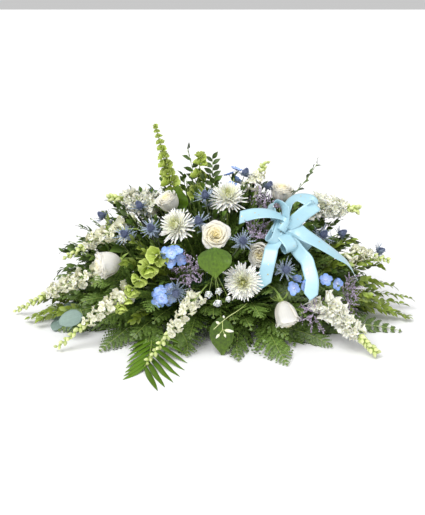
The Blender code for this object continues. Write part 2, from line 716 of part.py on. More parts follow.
def mum_plant(centre, facing, tree):
    """A spider chrysanthemum: a small core with a slim petal out of each of its faces."""
    facing = unit(facing)
    levels = ((0.0085, -0.0160), (0.0150, -0.0100), (0.0165, -0.0030), (0.0140, 0.0035), (0.0070, 0.0080))
    rings = [circle(centre + facing * level, facing, radius, 7) for radius, level in levels]
    garden = Garden(Plant([*rings, [centre + facing * 0.0095]]), tree)
    reach = ((-0.30, 0.036), (-0.05, 0.040), (0.32, 0.037), (0.95, 0.028))
    for wall, (lift, length) in zip(garden.plant.walls, reach):
        for face in wall:
            middle, looks, first = garden.place(face)
            out = unit(unit(middle - centre - facing * ((middle - centre) @ facing)) + facing * lift)
            garden.try_grow(face, [
                lambda s=s: [circle(middle + out * length * 0.55 * s, out, 0.0033, 4, first),
                             [middle + out * length * s + facing * 0.004]]
                for s in (1, 0.75, 0.5)])
    return garden.plant


def spike_plant(name, routes, tree):
    """A flower spike: open florets below, then buds that shrink to the tip."""
    zone = routes[0]["shoot"]["zone"]
    stock = name.startswith("stock")
    whorls, buds = (6, 3) if zone > 0.12 else (4, 2)
    zone_steps = list(np.linspace(zone, 0.002, whorls + buds + 1))
    garden, walls = grown_stem(routes, tree, (0.0026, 0.0014), zone_steps)
    ahead_line = routes[0]["line"]
    for number, wall in enumerate(walls[0][:-1]):
        share = number / (whorls + buds)
        scale = 1.0 - 0.45 * share
        step = cut_line(ahead_line, length_of(ahead_line) - zone * (1 - share), length_of(ahead_line), 2)
        ahead = unit(step[1] - step[0])
        for face in (wall[number % 2], wall[number % 2 + 2]):
            middle, looks, first = garden.place(face)
            if number >= whorls:
                sizes = (0.017 * scale, 0.0046 * scale)
                lean = unit(looks + ahead * 1.1)
                garden.try_grow(face, [lambda s=s: bud(middle, lean, first, sizes[0] * s, sizes[1] * s)
                                       for s in (1, 0.7)])
                continue
            if stock:
                lean, sizes = unit(looks + ahead * 0.45), (0.016 * scale, 0.0170 * scale, 4, 0.62, 0.30)
            else:
                lean, sizes = unit(looks + ahead * 0.80), (0.026 * scale, 0.0140 * scale, 4, 0.66, 0.40)
            garden.try_grow(face, [
                lambda s=s: flower(middle, lean, first, sizes[0] * s, sizes[1] * s, *sizes[2:])
                for s in (1, 0.85, 0.7, 0.5)])
    end = walls[0][-1][0]
    middle, looks, first = garden.place(end)
    garden.try_grow(end, [lambda s=s: bud(middle, looks, first, 0.016 * s, 0.0040) for s in (1, 0.6)])
    return garden.plant


def bells_plant(routes, tree):
    """Bells of Ireland: whorls of wide green cups that shrink up the stem."""
    zone = routes[0]["shoot"]["zone"]
    whorls = 5 if zone > 0.13 else 3
    heads = np.linspace(zone, 0.004, whorls + 1)
    zone_steps = [length for top in heads[:-1] for length in (top, top - 0.007, top - 0.014)] + [0.0]
    garden, walls = grown_stem(routes, tree, (0.0030, 0.0018), zone_steps)
    for number in range(whorls):
        scale = 1.0 - 0.50 * number / whorls
        low, high = walls[0][3 * number], walls[0][3 * number + 1]
        for face in (low[0], low[2], high[1], high[3]):
            middle, looks, first = garden.place(face)
            ahead = unit(routes[0]["line"][-1] - routes[0]["line"][-2])
            lean = unit(looks + ahead * (0.45 + 0.15 * number))
            garden.try_grow(face, [
                lambda s=s: flower(middle, lean, first, 0.022 * scale * s, 0.0185 * scale * s, 3, 0.92, 0.50)
                for s in (1, 0.85, 0.7, 0.5)])
    end = walls[0][-1][0]
    middle, looks, first = garden.place(end)
    garden.try_grow(end, [lambda s=s: bud(middle, looks, first, 0.018 * s, 0.0055) for s in (1, 0.6)])
    return garden.plant


def delphinium_plant(routes, tree):
    """Delphinium: round open blue flowers gathered at the end of each branch."""
    garden, walls = grown_stem(routes, tree, (0.0026, 0.0018), [0.052, 0.036, 0.020, 0.004])
    for way, zone in zip(routes, walls):
        ahead = unit(way["line"][-1] - way["line"][-2])
        for number, wall in enumerate(zone[:-1]):
            for face in (wall[number % 2], wall[number % 2 + 2]):
                middle, looks, first = garden.place(face)
                lean = unit(looks + ahead * (0.15 + 0.25 * number))
                garden.try_grow(face, [lambda s=s: flower(middle, lean, first, 0.017 * s, 0.0165 * s, 5, 0.66, 0.35)
                                       for s in (1, 0.85, 0.7, 0.5)])
        middle, looks, first = garden.place(zone[-1][0])
        garden.try_grow(zone[-1][0], [lambda s=s: flower(middle, looks, first, 0.013 * s, 0.0150 * s, 5, 0.66, 0.35)
                                      for s in (1, 0.8, 0.6)])
    return garden.plant


def thistle_plant(routes, tree):
    """Sea holly: an egg-shaped cone at the end of each branch, over a ruff of spiny bracts."""
    garden, walls = grown_stem(routes, tree, (0.0022, 0.0015), [0.006, 0.0])
    for zone in walls:
        middle, looks, first = garden.place(zone[-1][0])
        rings = [circle(middle + looks * level, looks, radius, 6, first)
                 for level, radius in ((0.002, 0.0048), (0.005, 0.0058), (0.013, 0.0070))]
        head = garden.plant.grow(zone[-1][0], [*rings, [middle + looks * 0.021]])
        garden.own = [garden.plant.solid()]
        for face in head[1]:
            root, out, _ = garden.place(face)
            garden.try_grow(face, [lambda s=s: [[root + unit(out + looks * 0.30) * 0.025 * s]]
                                   for s in (1, 0.75, 0.5)])
    return garden.plant


def statice_plant(routes, tree):
    """Sea lavender: each branch ends in a spray of slim twigs, each with a tiny cup flower."""
    garden, walls = grown_stem(routes, tree, (0.0022, 0.0014), [0.034, 0.028, 0.014, 0.008, 0.0])
    for way, zone in zip(routes, walls):
        ahead = unit(way["line"][-1] - way["line"][-2])
        twigs = [(zone[0][0], 0.7, 0.034), (zone[0][2], 0.7, 0.034), (zone[2][1], 1.0, 0.030), (zone[2][3], 1.0, 0.030)]
        for face, rise, length in [*twigs, (zone[-1][0], 4.0, 0.022)]:
            middle, looks, first = garden.place(face)
            lean = unit(looks + ahead * rise)

            def twig(s):
                neck = middle + lean * length * s
                return [circle(neck, lean, 0.0009, 4, first + lean * 0.02),
                        *flower(neck, lean, first, 0.010, 0.0060, 3, 0.7, 0.3)]
            garden.try_grow(face, [lambda s=s: twig(s) for s in (1, 0.75, 0.5)])
    return garden.plant


# Greenery


def drooped(point):
    """A point that lies on the floor where it would sink into it."""
    return np.array([point[0], point[1], max(point[2], FLOOR_GAP + BLADE)])


def rib_rings(line, bare, ups, rib):
    """Flat four-cornered rings along a frond: square on its bare stalk, then flat along its rib."""
    count = len(line)
    ahead = np.array([unit(v) for v in np.gradient(line, axis=0)])
    side = np.array([unit(np.cross(w, u)) for w, u in zip(ahead, ups)])
    normal = np.cross(side, ahead)
    slim = np.clip((np.arange(count) - bare) / max(count - bare, 1), 0, 1)
    wide = rib * (1.25 - 0.65 * slim)
    tall = np.where(np.arange(count) < bare, rib * 1.25, BLADE / 2 + rib * 0.35 * (1 - slim))
    corners = ((-1, 1), (1, 1), (1, -1), (-1, -1))
    rings = [[line[k] + side[k] * across * wide[k] + normal[k] * above * tall[k] for across, above in corners]
             for k in range(count)]
    return rings, ahead, side, normal


def leafy_plant(routes, tree, kind):
    """Fronds or leafy stems on one foot, with leaflets on both sides that shorten where they would touch."""
    leaf, count, bare_share, rib, leaf_base, every, tilt = kind
    plant, own, trunk = None, [], None
    for way in routes:
        line, total = way["line"], length_of(way["line"])
        foot = 0.0 if way["start"] is None else 0.011
        forks = [] if way["start"] is not None else [other["start"] for other in routes[1:]]
        bare = foot + (total - foot) * bare_share
        stalk = stations(line, foot, bare, forks)
        nodes = np.linspace(bare, total, count + 1)
        if leaf_base:
            nodes = np.sort(np.concatenate([nodes, nodes[:-1] + leaf_base]))
        lengths = np.concatenate([stalk, nodes[1:]])
        points = at_lengths(line, lengths)
        ups = []
        for step in np.gradient(points, axis=0):
            step = unit(step)
            guide = np.array([0.0, 0.0, 1.0]) if abs(step[2]) < 0.85 else np.array([0.0, -1.0, 0.0])
            across = unit(np.cross(step, guide))
            ups.append(unit(np.cross(across, step) * math.cos(tilt) + across * math.sin(tilt)))
        rings, ahead, side, normal = rib_rings(points, len(stalk) - 1, ups, rib)
        if way["start"] is None:
            plant = Plant(rings)
            walls, trunk = plant.walls, (lengths, plant.walls)
        else:
            wall = trunk[1][int(np.searchsorted(trunk[0], way["start"])) - 1]
            heading = unit(line[1] - line[0])
            garden = Garden(plant, tree)
            face = max((f for f in wall if f in plant.faces), key=lambda f: garden.place(f)[1] @ heading)
            walls = plant.grow(face, rings)
            walls = walls[1:]
        own.append(plant.solid())
        for k in range(len(stalk) - 1, len(points) - 1):
            number = k - len(stalk) + 1
            if leaf_base and number % 2:
                continue
            number = number // 2 if leaf_base else number
            share = number / max(count - 1, 1)
            for left, way_out in ((True, -side[k]), (False, side[k])):
                if every > 1 and (number + left) % every:
                    continue
                for size in (1.0, 0.8, 0.6, 0.4):
                    outline = [drooped(p) for p in
                               leaf(points[k], points[k + 1], way_out, ahead[k], normal[k], share, size)]
                    prism = leaflet_prism(points[k], points[k + 1], way_out, outline, normal[k], rib)
                    whole = leaflet_prism(points[k], points[k + 1], way_out, outline, normal[k], 0, 0)
                    if is_clear(whole, tree) and is_clear(prism, tree, own):
                        plant.leaflet(walls[k][3 if left else 1], outline, normal[k] * BLADE / 2, left)
                        own.append(prism)
                        break
    return plant


def leaflet_prism(start, end, way, outline, normal, rib, inset=0.08):
    """A leaflet alone as a closed prism that begins just off its rib, for the clearance test."""
    inner = way * (rib * 1.3 + 0.0004)
    flat = [start + inner + (end - start) * inset, *outline, end + inner - (end - start) * inset]
    half = normal * BLADE * 1.1
    return Plant([[p + half for p in flat], [p - half for p in flat]]).solid()


def fern_leaf(start, end, way, ahead, normal, share, size):
    """A leatherleaf pinna: a long slim triangle, longest near the foot of the frond."""
    reach = size * (0.012 + 0.062 * (1 - share) ** 0.8)
    return [(start + end) / 2 + way * reach + ahead * reach * 0.55 - normal * reach * 0.25]


def palm_leaf(start, end, way, ahead, normal, share, size):
    """A long pointed palm leaflet."""
    reach = size * (0.075 + 0.090 * math.sin(math.pi * (0.25 + 0.60 * (1 - share))))
    along = unit(way + ahead * (0.75 + 0.8 * share))
    middle = (start + end) / 2
    broad = np.linalg.norm(end - start) * 0.46
    return [middle + along * reach * 0.45 - ahead * broad, middle + along * reach - normal * reach * 0.20,
            middle + along * reach * 0.45 + ahead * broad * 0.5]


def oval_leaf(length, breadth, lean):
    """A maker of pointed oval leaves of one size."""
    def leaf(start, end, way, ahead, normal, share, size):
        reach = size * length * (1 - 0.45 * share)
        half = size * breadth * (1 - 0.35 * share) / 2
        along = unit(way + ahead * lean)
        across = unit(ahead - along * (ahead @ along))
        middle = (start + end) / 2
        return [middle + along * reach * 0.5 - across * half, middle + along * reach,
                middle + along * reach * 0.5 + across * half]
    return leaf


# each kind: its leaflet, how many steps carry leaflets, the bare share of its length, half the rib's
# width, the length of rib that a leaf grows from (or none for all of it), whether leaves alternate,
# and how far they are turned round their stem
LEAFY_KINDS = {
    "palm": (palm_leaf, 9, 0.45, 0.0013, None, 1, 0.0),
    "ruscus": (oval_leaf(0.042, 0.017, 1.3), 5, 0.45, 0.0012, 0.006, 1, 0.3),
    "eucalyptus": (oval_leaf(0.058, 0.050, 0.5), 4, 0.55, 0.0013, 0.006, 2, 0.0),
    "fern": (fern_leaf, 7, 0.38, 0.0013, None, 1, 0.0),
}


def salal_plant(routes, tree, sizes):
    """Salal: a broad leathery leaf with a pointed tip at the end of each stalk."""
    garden, walls = grown_stem(routes, tree, (0.0022, 0.0015), [sizes[0][0] + 0.006, sizes[0][0]])
    shares = np.array([0.06, 0.25, 0.50, 0.75, 0.93])
    widths = np.array([0.40, 0.92, 1.00, 0.70, 0.22])
    for way, zone, (length, half) in zip(routes, walls, sizes):
        line, total = way["line"], length_of(way["line"])
        spine = at_lengths(line, total - length * (1 - shares))
        tip = line[-1]
        face = np.array([0, -0.75, 0.65]) if tip[1] < 0.1 else np.array([0, 0.75, 0.65])
        end = zone[-1][0]
        base = np.array(garden.plant.corners(end))

        def leaf(size):
            rings = []
            for point, width in zip(spine, widths * half * size):
                ahead = unit(tip - spine[0])
                side = unit(np.cross(ahead, face))
                normal = np.cross(side, ahead)
                left, right = (drooped(point + side * way_out * width + normal * 0.16 * width)
                               for way_out in (-1, 1))
                rise = normal * BLADE / 2
                rings.append([left + rise, point + rise, right + rise, right - rise, point - rise, left - rise])
            return [*rings, [tip]]
        for size in (1.0, 0.8, 0.6, 0.4):
            rings = leaf(size)
            if is_clear(Plant([base + (spine[0] - base) * 0.3, *rings]).solid(), tree, garden.own):
                garden.plant.grow(end, rings)
                break
    return garden.plant


# The bow


def strip(points, across, width, thick):
    """A flat ribbon along a line, as a thin closed solid, narrower where it turns in its own plane."""
    ahead = np.array([unit(v) for v in np.gradient(points, axis=0)])
    across = np.array([unit(a) - w * (unit(a) @ w) for a, w in zip(across, ahead)])
    width = width * np.maximum(np.linalg.norm(across, axis=1), 0.25)
    across = np.array([unit(a) for a in across])
    for step in range(1, len(across)):
        across[step] *= 1 if across[step] @ across[step - 1] > 0 else -1
    normal = np.cross(across, ahead)
    rings = [[p - a * w / 2 + n * thick / 2, p + a * w / 2 + n * thick / 2,
              p + a * w / 2 - n * thick / 2, p - a * w / 2 - n * thick / 2]
             for p, a, n, w in zip(points, across, normal, width)]
    return Plant(rings).solid()


def rolled(centre, axis, radius, turns):
    """Rows of a band rolled round an axis, the first of them on its upper side."""
    axis = unit(axis)
    down = unit(np.array([axis[1], -axis[0], 0]) * (1 if axis[0] > 0 else -1))
    out = np.cross(axis, down) * np.sign(np.cross(axis, down)[2])
    turn = np.radians(np.linspace(*turns, 9))[:, None]
    ring = np.array(centre) + radius * (np.sin(turn) * out - np.cos(turn) * down)
    return np.hstack([ring, np.broadcast_to(axis * 100, ring.shape)])


def bands_of_bow():
    """Each ribbon of the bow as rows of a place and a direction across it, in metres."""
    bands = {name: np.array(rows, float) for name, rows in BANDS.items()}
    for name, (centre, axis, radius, turns) in ROLLS.items():
        ring = rolled(centre, axis, radius, turns)
        bands[name] = ring if name == "wrap" else np.vstack([[0, 0, -3, *axis], ring, [0, 0, 4, *axis]])
    return {name: np.hstack([KNOT + rows[:, :3] @ BOW_AXES / 1000, rows[:, 3:] @ BOW_AXES / 100])
            for name, rows in bands.items()}


def bow_solids():
    """The bow: a knot, its loops and its tails, all of one satin ribbon."""
    rings = [circle(KNOT + BOW_FACING * level, BOW_FACING, radius, 6)
             for radius, level in ((0.010, -0.011), (0.014, 0.0), (0.010, 0.011))]
    solids = [Plant(rings).solid()]
    bands = bands_of_bow()
    wrap = bands.pop("wrap")
    middle, axis = wrap[:, :3].mean(0), wrap[0, 3:]
    solids.append(Plant([circle(middle + axis * side, axis, 0.0145, 8) for side in (-0.019, 0.019)]).solid())
    for name, rows in bands.items():
        reach = np.concatenate([[0], np.cumsum(np.linalg.norm(np.diff(rows[:, :3], axis=0), axis=1))])
        wanted = np.linspace(0, reach[-1], BOW_STEPS)
        even = np.stack([np.interp(wanted, reach, column) for column in rows.T], axis=1)
        left = 1.0 if name.endswith("tail") else wanted[-1] - wanted
        pinch = np.minimum(1, 0.35 + 0.65 * np.sqrt(np.minimum(wanted, left) / 0.030))
        solids.append(strip(even[:, :3], even[:, 3:], RIBBON * pinch, RIBBON_THICK))
    return solids


def bow_balls():
    """Balls along the ribbons, so that stems keep clear of the bow."""
    return np.vstack([KNOT[None], *[rows[:, :3] for rows in bands_of_bow().values()]])


# The holder


def rounded_outline(half, corner):
    """A rectangle with round corners."""
    spots = []
    for quarter in range(4):
        sign = ((1, 1), (-1, 1), (-1, -1), (1, -1))[quarter]
        for k in range(CORNER_STEPS + 1):
            turn = math.pi / 2 * (quarter + k / CORNER_STEPS)
            spots.append(np.array(sign) * (half - corner) + corner * np.array([math.cos(turn), math.sin(turn)]))
    return np.array(spots)


def tray_solid():
    """A shallow open tray with an even wall."""
    outer = rounded_outline(TRAY_HALF, TRAY_CORNER)
    inner = rounded_outline(TRAY_HALF - TRAY_WALL, TRAY_CORNER - TRAY_WALL)
    levels = ((outer, 0.0), (outer, TRAY_HEIGHT), (inner, TRAY_HEIGHT), (inner, TRAY_FLOOR))
    return Plant([np.column_stack([ring, np.full(len(ring), z)]) for ring, z in levels]).solid()


def foam_solid():
    """The plain foam block."""
    x, y = FOAM_HALF
    corners = [(-x, -y), (x, -y), (x, y), (-x, y)]
    return Plant([[np.array([*c, z]) for c in corners] for z in (FOAM_BASE, FOAM_TOP)]).solid()


def hole_solid(way):
    """The plain round hole in which a stem stands, as a cutter that begins outside the foam."""
    foot, beyond = way["line"][:2]
    line = np.array([beyond, foot + unit(foot - beyond) * (HOLE_DEPTH - STEM_DEPTH)])
    return Plant(tube_rings(line, way["shoot"]["hole"], 5)).solid()


# Every stem and where it ends


def plan_shoots():
    """The stems, in the order in which they take their holes."""
    shoots, owners = [], {}

    def shoot(name, end, heading, radius, reach=0.08, zone=0.0, fat=0.0, goal=None, steps=5,
              forks=(0.42, 0.30, 0.54, 0.20, 0.62), via=None):
        end = np.array(end, float)
        shoots.append({
            "name": name, "owner": owners.setdefault(name, len(owners)), "end": end, "heading": unit(heading),
            "via": end if via is None else np.array(via, float), "reach": reach, "radius": radius, "zone": zone,
            "zone_radius": max(fat, radius), "steps": steps,
            "goal": end if goal is None else np.array(goal, float), "forks": forks,
            "hole": radius * 1.25 + HOLE_PLAY})

    shoot("bow_pick", KNOT - BOW_FACING * 0.0114, BOW_FACING, 0.0018)
    for name, (centre, facing, opened) in ROSES.items():
        half = ROSE_HEIGHT * (1 - 0.25 * opened) / 2
        shoot("rose_" + name, centre - unit(facing) * half, facing, 0.0026)
    for name, (centre, facing) in MUMS.items():
        shoot("mum_" + name, centre - unit(facing) * 0.016, facing, 0.0028)
    for group, radius, fat in ((SPIKES, 0.0026, 0.009), (BELLS, 0.0030, 0.010)):
        for name, (start, tip) in group.items():
            along = np.array(tip) - start
            length = float(np.linalg.norm(along))
            shoot(name, tip, along, radius, 0.09, length, fat, start, 5, via=start)
    for group, radius, fat in ((DELPHINIUMS, 0.0026, 0.008), (THISTLES, 0.0022, 0.006), (STATICES, 0.0022, 0.003)):
        for name, heads in group.items():
            for head in heads:
                away = np.array(head) - (0.45 * head[0], 0, 0.12)
                shoot(name, head, away, radius, 0.05, 0.02, fat, np.mean(heads, axis=0), 4)
    for name, heads in SALALS.items():
        for tip, heading, _ in heads:
            shoot(name, tip, heading, 0.0022, 0.10, 0.09, 0.003, np.mean([h[0] for h in heads], axis=0), 5)
    for kind, group in (("palm", PALMS), ("fern", FERNS), ("eucalyptus", EUCALYPTUSES), ("ruscus", RUSCUSES)):
        for name, tips in group.items():
            for tip in tips:
                outward = unit(np.array([tip[0] * 0.75, tip[1], 0]))
                fall = -0.30 if tip[2] < 0.2 else 1.6
                shoot(name, tip, outward + np.array([0, 0, fall]), 0.0021, 0.12, 0.10, 0.003,
                      np.mean(tips, axis=0) * (1, 1, 0.8), 9, (0.12, 0.20, 0.28, 0.36, 0.16, 0.24, 0.32))
    return shoots


def clear_scene():
    """Removes the objects of the scene that the script starts in."""
    for old in list(bpy.data.objects):
        bpy.data.objects.remove(old)


def main():
    clear_scene()
    space = Space()
    shoots = plan_shoots()
    owners = {shoot["name"]: shoot["owner"] for shoot in shoots}
    for name, (centre, _, _) in ROSES.items():
        space.add(np.array(centre), ROSE_RADIUS * 1.12, owners["rose_" + name])
    for name, (centre, _) in MUMS.items():
        space.add(np.array(centre), MUM_RADIUS * 0.62, owners["mum_" + name])
    space.add(bow_balls(), 0.012, owners["bow_pick"])
    routes = settle(shoots, space)

    finished, bodies = Neighbours(), {}

    def finish(name, plant, colour):
        solid = plant.solid()
        finished.add(name, solid)
        bodies[name] = (solid, colour)

    tray, bow = tray_solid(), bow_solids()
    finished.add("tray", tray)
    for ribbon in bow:
        finished.add("bow", ribbon)
    for name, ways in routes.items():
        for way in ways:
            radius = way["shoot"]["radius"] * 1.1
            finished.add("route_" + name, Plant(tube_rings(way["line"], radius)).solid())
    for name, (centre, facing, opened) in ROSES.items():
        finish("rose_" + name, Plant(rose_rings(np.array(centre), facing, opened)), "cream")

    def others(name):
        return finished.tree_without("route_" + name)

    finish("bow_pick", Plant(tube_rings(routes["bow_pick"][0]["line"], 0.0018)), "pick")
    for name, (centre, facing, opened) in ROSES.items():
        way = routes["rose_" + name][0]
        finish("rose_stem_" + name, rose_stem(way, facing, others("rose_" + name)), "stem")
    for name, (centre, facing) in MUMS.items():
        line = routes["mum_" + name][0]["line"]
        top = line[-1] - unit(facing) * SEAT_GAP
        points = np.vstack([line[:-1], top - unit(facing) * 0.008, top])
        finish("mum_stem_" + name, Plant(tube_rings(points, [0.0026] * len(line) + [0.0062])), "stem")
        finish("mum_" + name, mum_plant(np.array(centre), facing, others("mum_" + name)), "white")
    for name in SPIKES:
        finish(name, spike_plant(name, routes[name], others(name)), "white")
    for name in BELLS:
        finish(name, bells_plant(routes[name], others(name)), "bells")
    for name in DELPHINIUMS:
        finish(name, delphinium_plant(routes[name], others(name)), "blue")
    for name in THISTLES:
        finish(name, thistle_plant(routes[name], others(name)), "thistle")
    for name, heads in SALALS.items():
        finish(name, salal_plant(routes[name], others(name), [size for _, _, size in heads]), "salal")
    for name in STATICES:
        finish(name, statice_plant(routes[name], others(name)), "lilac")
    for kind, group in (("palm", PALMS), ("ruscus", RUSCUSES), ("eucalyptus", EUCALYPTUSES), ("fern", FERNS)):
        for name in group:
            finish(name, leafy_plant(routes[name], others(name), LEAFY_KINDS[kind]), kind)

    for name, (solid, colour) in bodies.items():
        mesh_object(name, solid, colour)
    mesh_object("tray", tray, "tray")
    combine(mesh_object("bow", bow[0], "ribbon"), bow[1:], "UNION")
    cutters = [hole_solid(way) for ways in routes.values() for way in ways if way["start"] is None]
    combine(mesh_object("foam", foam_solid(), "foam"), cutters, "DIFFERENCE")


main()
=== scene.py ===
# %% [markdown]
# A casket spray is a low, wide arrangement of cut flowers and greenery. The stems stand in a block of soaked
# foam in a shallow tray, and a ribbon bow sits to one side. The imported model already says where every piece
# is, so the first step loads it, and each step after that grows one kind of flower or leaf where its plain
# solid stands.

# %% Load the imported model
import functools
import itertools
import json
import math

import bpy
import numpy as np
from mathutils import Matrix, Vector

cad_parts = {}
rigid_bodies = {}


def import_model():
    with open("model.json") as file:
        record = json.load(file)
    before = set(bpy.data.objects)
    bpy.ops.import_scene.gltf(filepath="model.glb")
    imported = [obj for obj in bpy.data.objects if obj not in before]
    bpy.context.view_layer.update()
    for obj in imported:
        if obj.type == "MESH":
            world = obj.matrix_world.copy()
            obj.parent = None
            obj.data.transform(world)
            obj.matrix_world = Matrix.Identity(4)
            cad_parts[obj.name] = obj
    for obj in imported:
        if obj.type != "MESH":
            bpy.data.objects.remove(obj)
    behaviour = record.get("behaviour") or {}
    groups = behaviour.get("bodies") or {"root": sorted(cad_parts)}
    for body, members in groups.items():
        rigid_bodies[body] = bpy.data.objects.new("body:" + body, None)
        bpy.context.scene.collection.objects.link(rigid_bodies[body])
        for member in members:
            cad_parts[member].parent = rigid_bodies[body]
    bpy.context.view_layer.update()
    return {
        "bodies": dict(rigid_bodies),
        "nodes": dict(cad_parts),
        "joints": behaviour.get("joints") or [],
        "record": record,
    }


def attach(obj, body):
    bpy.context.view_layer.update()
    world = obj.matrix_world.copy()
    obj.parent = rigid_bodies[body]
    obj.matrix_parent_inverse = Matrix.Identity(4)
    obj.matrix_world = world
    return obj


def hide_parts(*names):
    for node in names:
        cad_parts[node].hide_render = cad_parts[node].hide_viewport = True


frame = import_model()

# %% [markdown]
# The camera comes first, because every shape is judged through it. It looks down at the spray at 22 degrees
# from three metres away. The lens follows from the picture: its long side holds the sensor's width.

# %% Camera
TILT, AWAY = math.radians(22), 3.0
AIM = np.array([0, 0, 0.172])
# The sensor's width in millimetres, and the focal length and the picture's long side in pixels.
SENSOR, FOCAL, LONG_SIDE = 36, 1024, 515
camera = bpy.data.objects.new("camera", bpy.data.cameras.new("camera"))
camera.data.sensor_width, camera.data.lens = SENSOR, SENSOR * FOCAL / LONG_SIDE
camera.location = AIM + AWAY * np.array([0, -math.cos(TILT), math.sin(TILT)])
camera.rotation_euler = (math.pi / 2 - TILT, 0, 0)
bpy.context.scene.collection.objects.link(camera)
bpy.context.scene.camera = camera
print("camera at", [round(x, 3) for x in camera.location])

# %% [markdown]
# A florist plans a spray by where each bloom ends up, and lets its stem find the way down to the foam. These
# tables say the same: where each bloom sits and which way it faces, in metres from the middle of the tray's
# underside.

# %% Where each bloom, spray and leaf goes
ROSES = {
    "center": ((0.007, -0.155, 0.300), (0.05, -0.85, 0.52), 1.0),
    "left": ((-0.280, -0.155, 0.220), (-0.92, -0.35, -0.12), 0.35),
    "upper_left": ((-0.124, -0.020, 0.349), (-0.45, -0.25, 0.85), 0.10),
    "upper_right": ((0.200, 0.055, 0.352), (0.10, -0.15, 1.00), 0.25),
    "lower_right": ((0.196, -0.240, 0.112), (0.30, -0.42, -0.86), 0.25),
    "under_bow": ((0.137, -0.142, 0.240), (-0.40, -0.85, 0.10), 0.50),
    "back": ((-0.150, 0.190, 0.262), (-0.25, 0.80, 0.55), 0.90),
}
MUMS = {
    "upper_left": ((-0.100, -0.125, 0.318), (-0.35, -0.65, 0.65)),
    "top": ((0.044, -0.010, 0.364), (0.00, -0.55, 0.83)),
    "lower": ((0.083, -0.228, 0.193), (-0.05, -0.95, 0.25)),
    "back": ((0.060, 0.205, 0.262), (0.10, 0.80, 0.55)),
}
SPIKES = {
    "snapdragon_far_left": ((-0.330, -0.115, 0.168), (-0.578, -0.030, 0.016)),
    "snapdragon_left_front": ((-0.235, -0.215, 0.155), (-0.424, -0.270, 0.018)),
    "snapdragon_front": ((-0.040, -0.250, 0.160), (-0.172, -0.365, 0.022)),
    "stock_right_front": ((0.298, -0.215, 0.130), (0.440, -0.308, 0.022)),
    "snapdragon_upper_left": ((-0.262, -0.075, 0.285), (-0.426, -0.035, 0.186)),
    "stock_upper_left": ((-0.170, 0.020, 0.325), (-0.298, 0.040, 0.344)),
    "stock_upper_right": ((0.285, 0.040, 0.312), (0.422, 0.042, 0.308)),
    "snapdragon_top": ((0.108, 0.060, 0.365), (0.155, 0.075, 0.438)),
    "snapdragon_right": ((0.390, -0.055, 0.205), (0.514, 0.010, 0.162)),
    "snapdragon_back": ((-0.260, 0.190, 0.215), (-0.390, 0.290, 0.110)),
}
BELLS = {
    "bells_tall": ((-0.118, 0.058, 0.360), (-0.162, 0.075, 0.545)),
    "bells_top": ((-0.046, 0.070, 0.350), (-0.034, 0.078, 0.452)),
    "bells_left": ((-0.150, -0.200, 0.255), (-0.250, -0.240, 0.120)),
}
DELPHINIUMS = {
    "delphinium_left": ((-0.113, -0.196, 0.262), (-0.140, -0.238, 0.150)),
    "delphinium_right": ((0.328, -0.168, 0.168), (0.238, -0.206, 0.172)),
    "delphinium_back": ((0.062, 0.075, 0.392), (-0.045, 0.215, 0.235)),
}
THISTLES = {
    "thistle_left": ((-0.315, 0.030, 0.285), (-0.176, 0.070, 0.338), (-0.205, -0.010, 0.328)),
    "thistle_front_left": ((-0.240, -0.110, 0.283), (-0.168, -0.120, 0.304), (-0.100, -0.245, 0.170)),
    "thistle_center": ((-0.036, -0.128, 0.326), (0.081, -0.165, 0.285), (0.196, -0.205, 0.218)),
    "thistle_top": ((-0.020, -0.035, 0.368), (0.092, 0.062, 0.402), (0.160, 0.055, 0.365)),
    "thistle_right": ((0.309, -0.075, 0.267), (0.367, -0.010, 0.246), (0.484, 0.020, 0.182)),
}
STATICES = {
    "statice_center": ((0.132, -0.118, 0.300), (-0.065, -0.212, 0.220), (0.158, 0.020, 0.340)),
    "statice_right": ((0.284, -0.235, 0.100), (0.390, -0.155, 0.125), (0.300, 0.150, 0.220)),
}
FERNS = {
    "fern_front_left": (
        (-0.310, -0.275, 0.006), (-0.190, -0.300, 0.006), (-0.440, -0.150, 0.008),
        (-0.070, -0.305, 0.008), (-0.175, -0.285, 0.130), (-0.335, -0.178, 0.160)),
    "fern_front_right": (
        (0.070, -0.330, 0.006), (0.200, -0.355, 0.006), (0.330, -0.250, 0.008),
        (0.540, -0.150, 0.006), (0.130, -0.290, 0.115), (0.350, -0.190, 0.165)),
    "fern_back_left": (
        (-0.070, 0.350, 0.006), (-0.240, 0.330, 0.006), (-0.400, 0.170, 0.008),
        (-0.500, 0.020, 0.008), (-0.020, 0.280, 0.150), (-0.330, 0.150, 0.180)),
    "fern_back_right": (
        (0.090, 0.350, 0.006), (0.250, 0.320, 0.006), (0.410, 0.190, 0.008),
        (0.520, 0.060, 0.008), (0.160, 0.270, 0.150), (0.370, 0.120, 0.190)),
}
PALMS = {"palm_front": ((-0.180, -0.372, 0.010),)}
RUSCUSES = {
    "ruscus_left": ((-0.530, -0.090, 0.020), (-0.330, 0.190, 0.240)),
    "ruscus_top": ((-0.074, 0.105, 0.472), (0.000, 0.110, 0.440), (0.306, 0.090, 0.432)),
    "ruscus_right": ((0.592, 0.000, 0.040), (0.572, -0.075, 0.016), (0.330, 0.210, 0.235)),
}
EUCALYPTUSES = {"eucalyptus_left": ((-0.440, -0.110, 0.020),)}
SALALS = {
    "salal_front": (((0.008, -0.262, 0.222), (0.05, -0.35, -0.90), (0.098, 0.043)),
                    ((0.028, -0.300, 0.006), (0.05, -0.35, -0.90), (0.130, 0.036))),
    "salal_upper": (((-0.100, -0.015, 0.392), (0.10, -0.15, 1.00), (0.090, 0.034)),
                    ((-0.085, 0.205, 0.300), (0.10, 0.75, 0.45), (0.110, 0.038))),
}
ROSE_RADIUS, ROSE_HEIGHT, MUM_RADIUS = 0.034, 0.060, 0.050


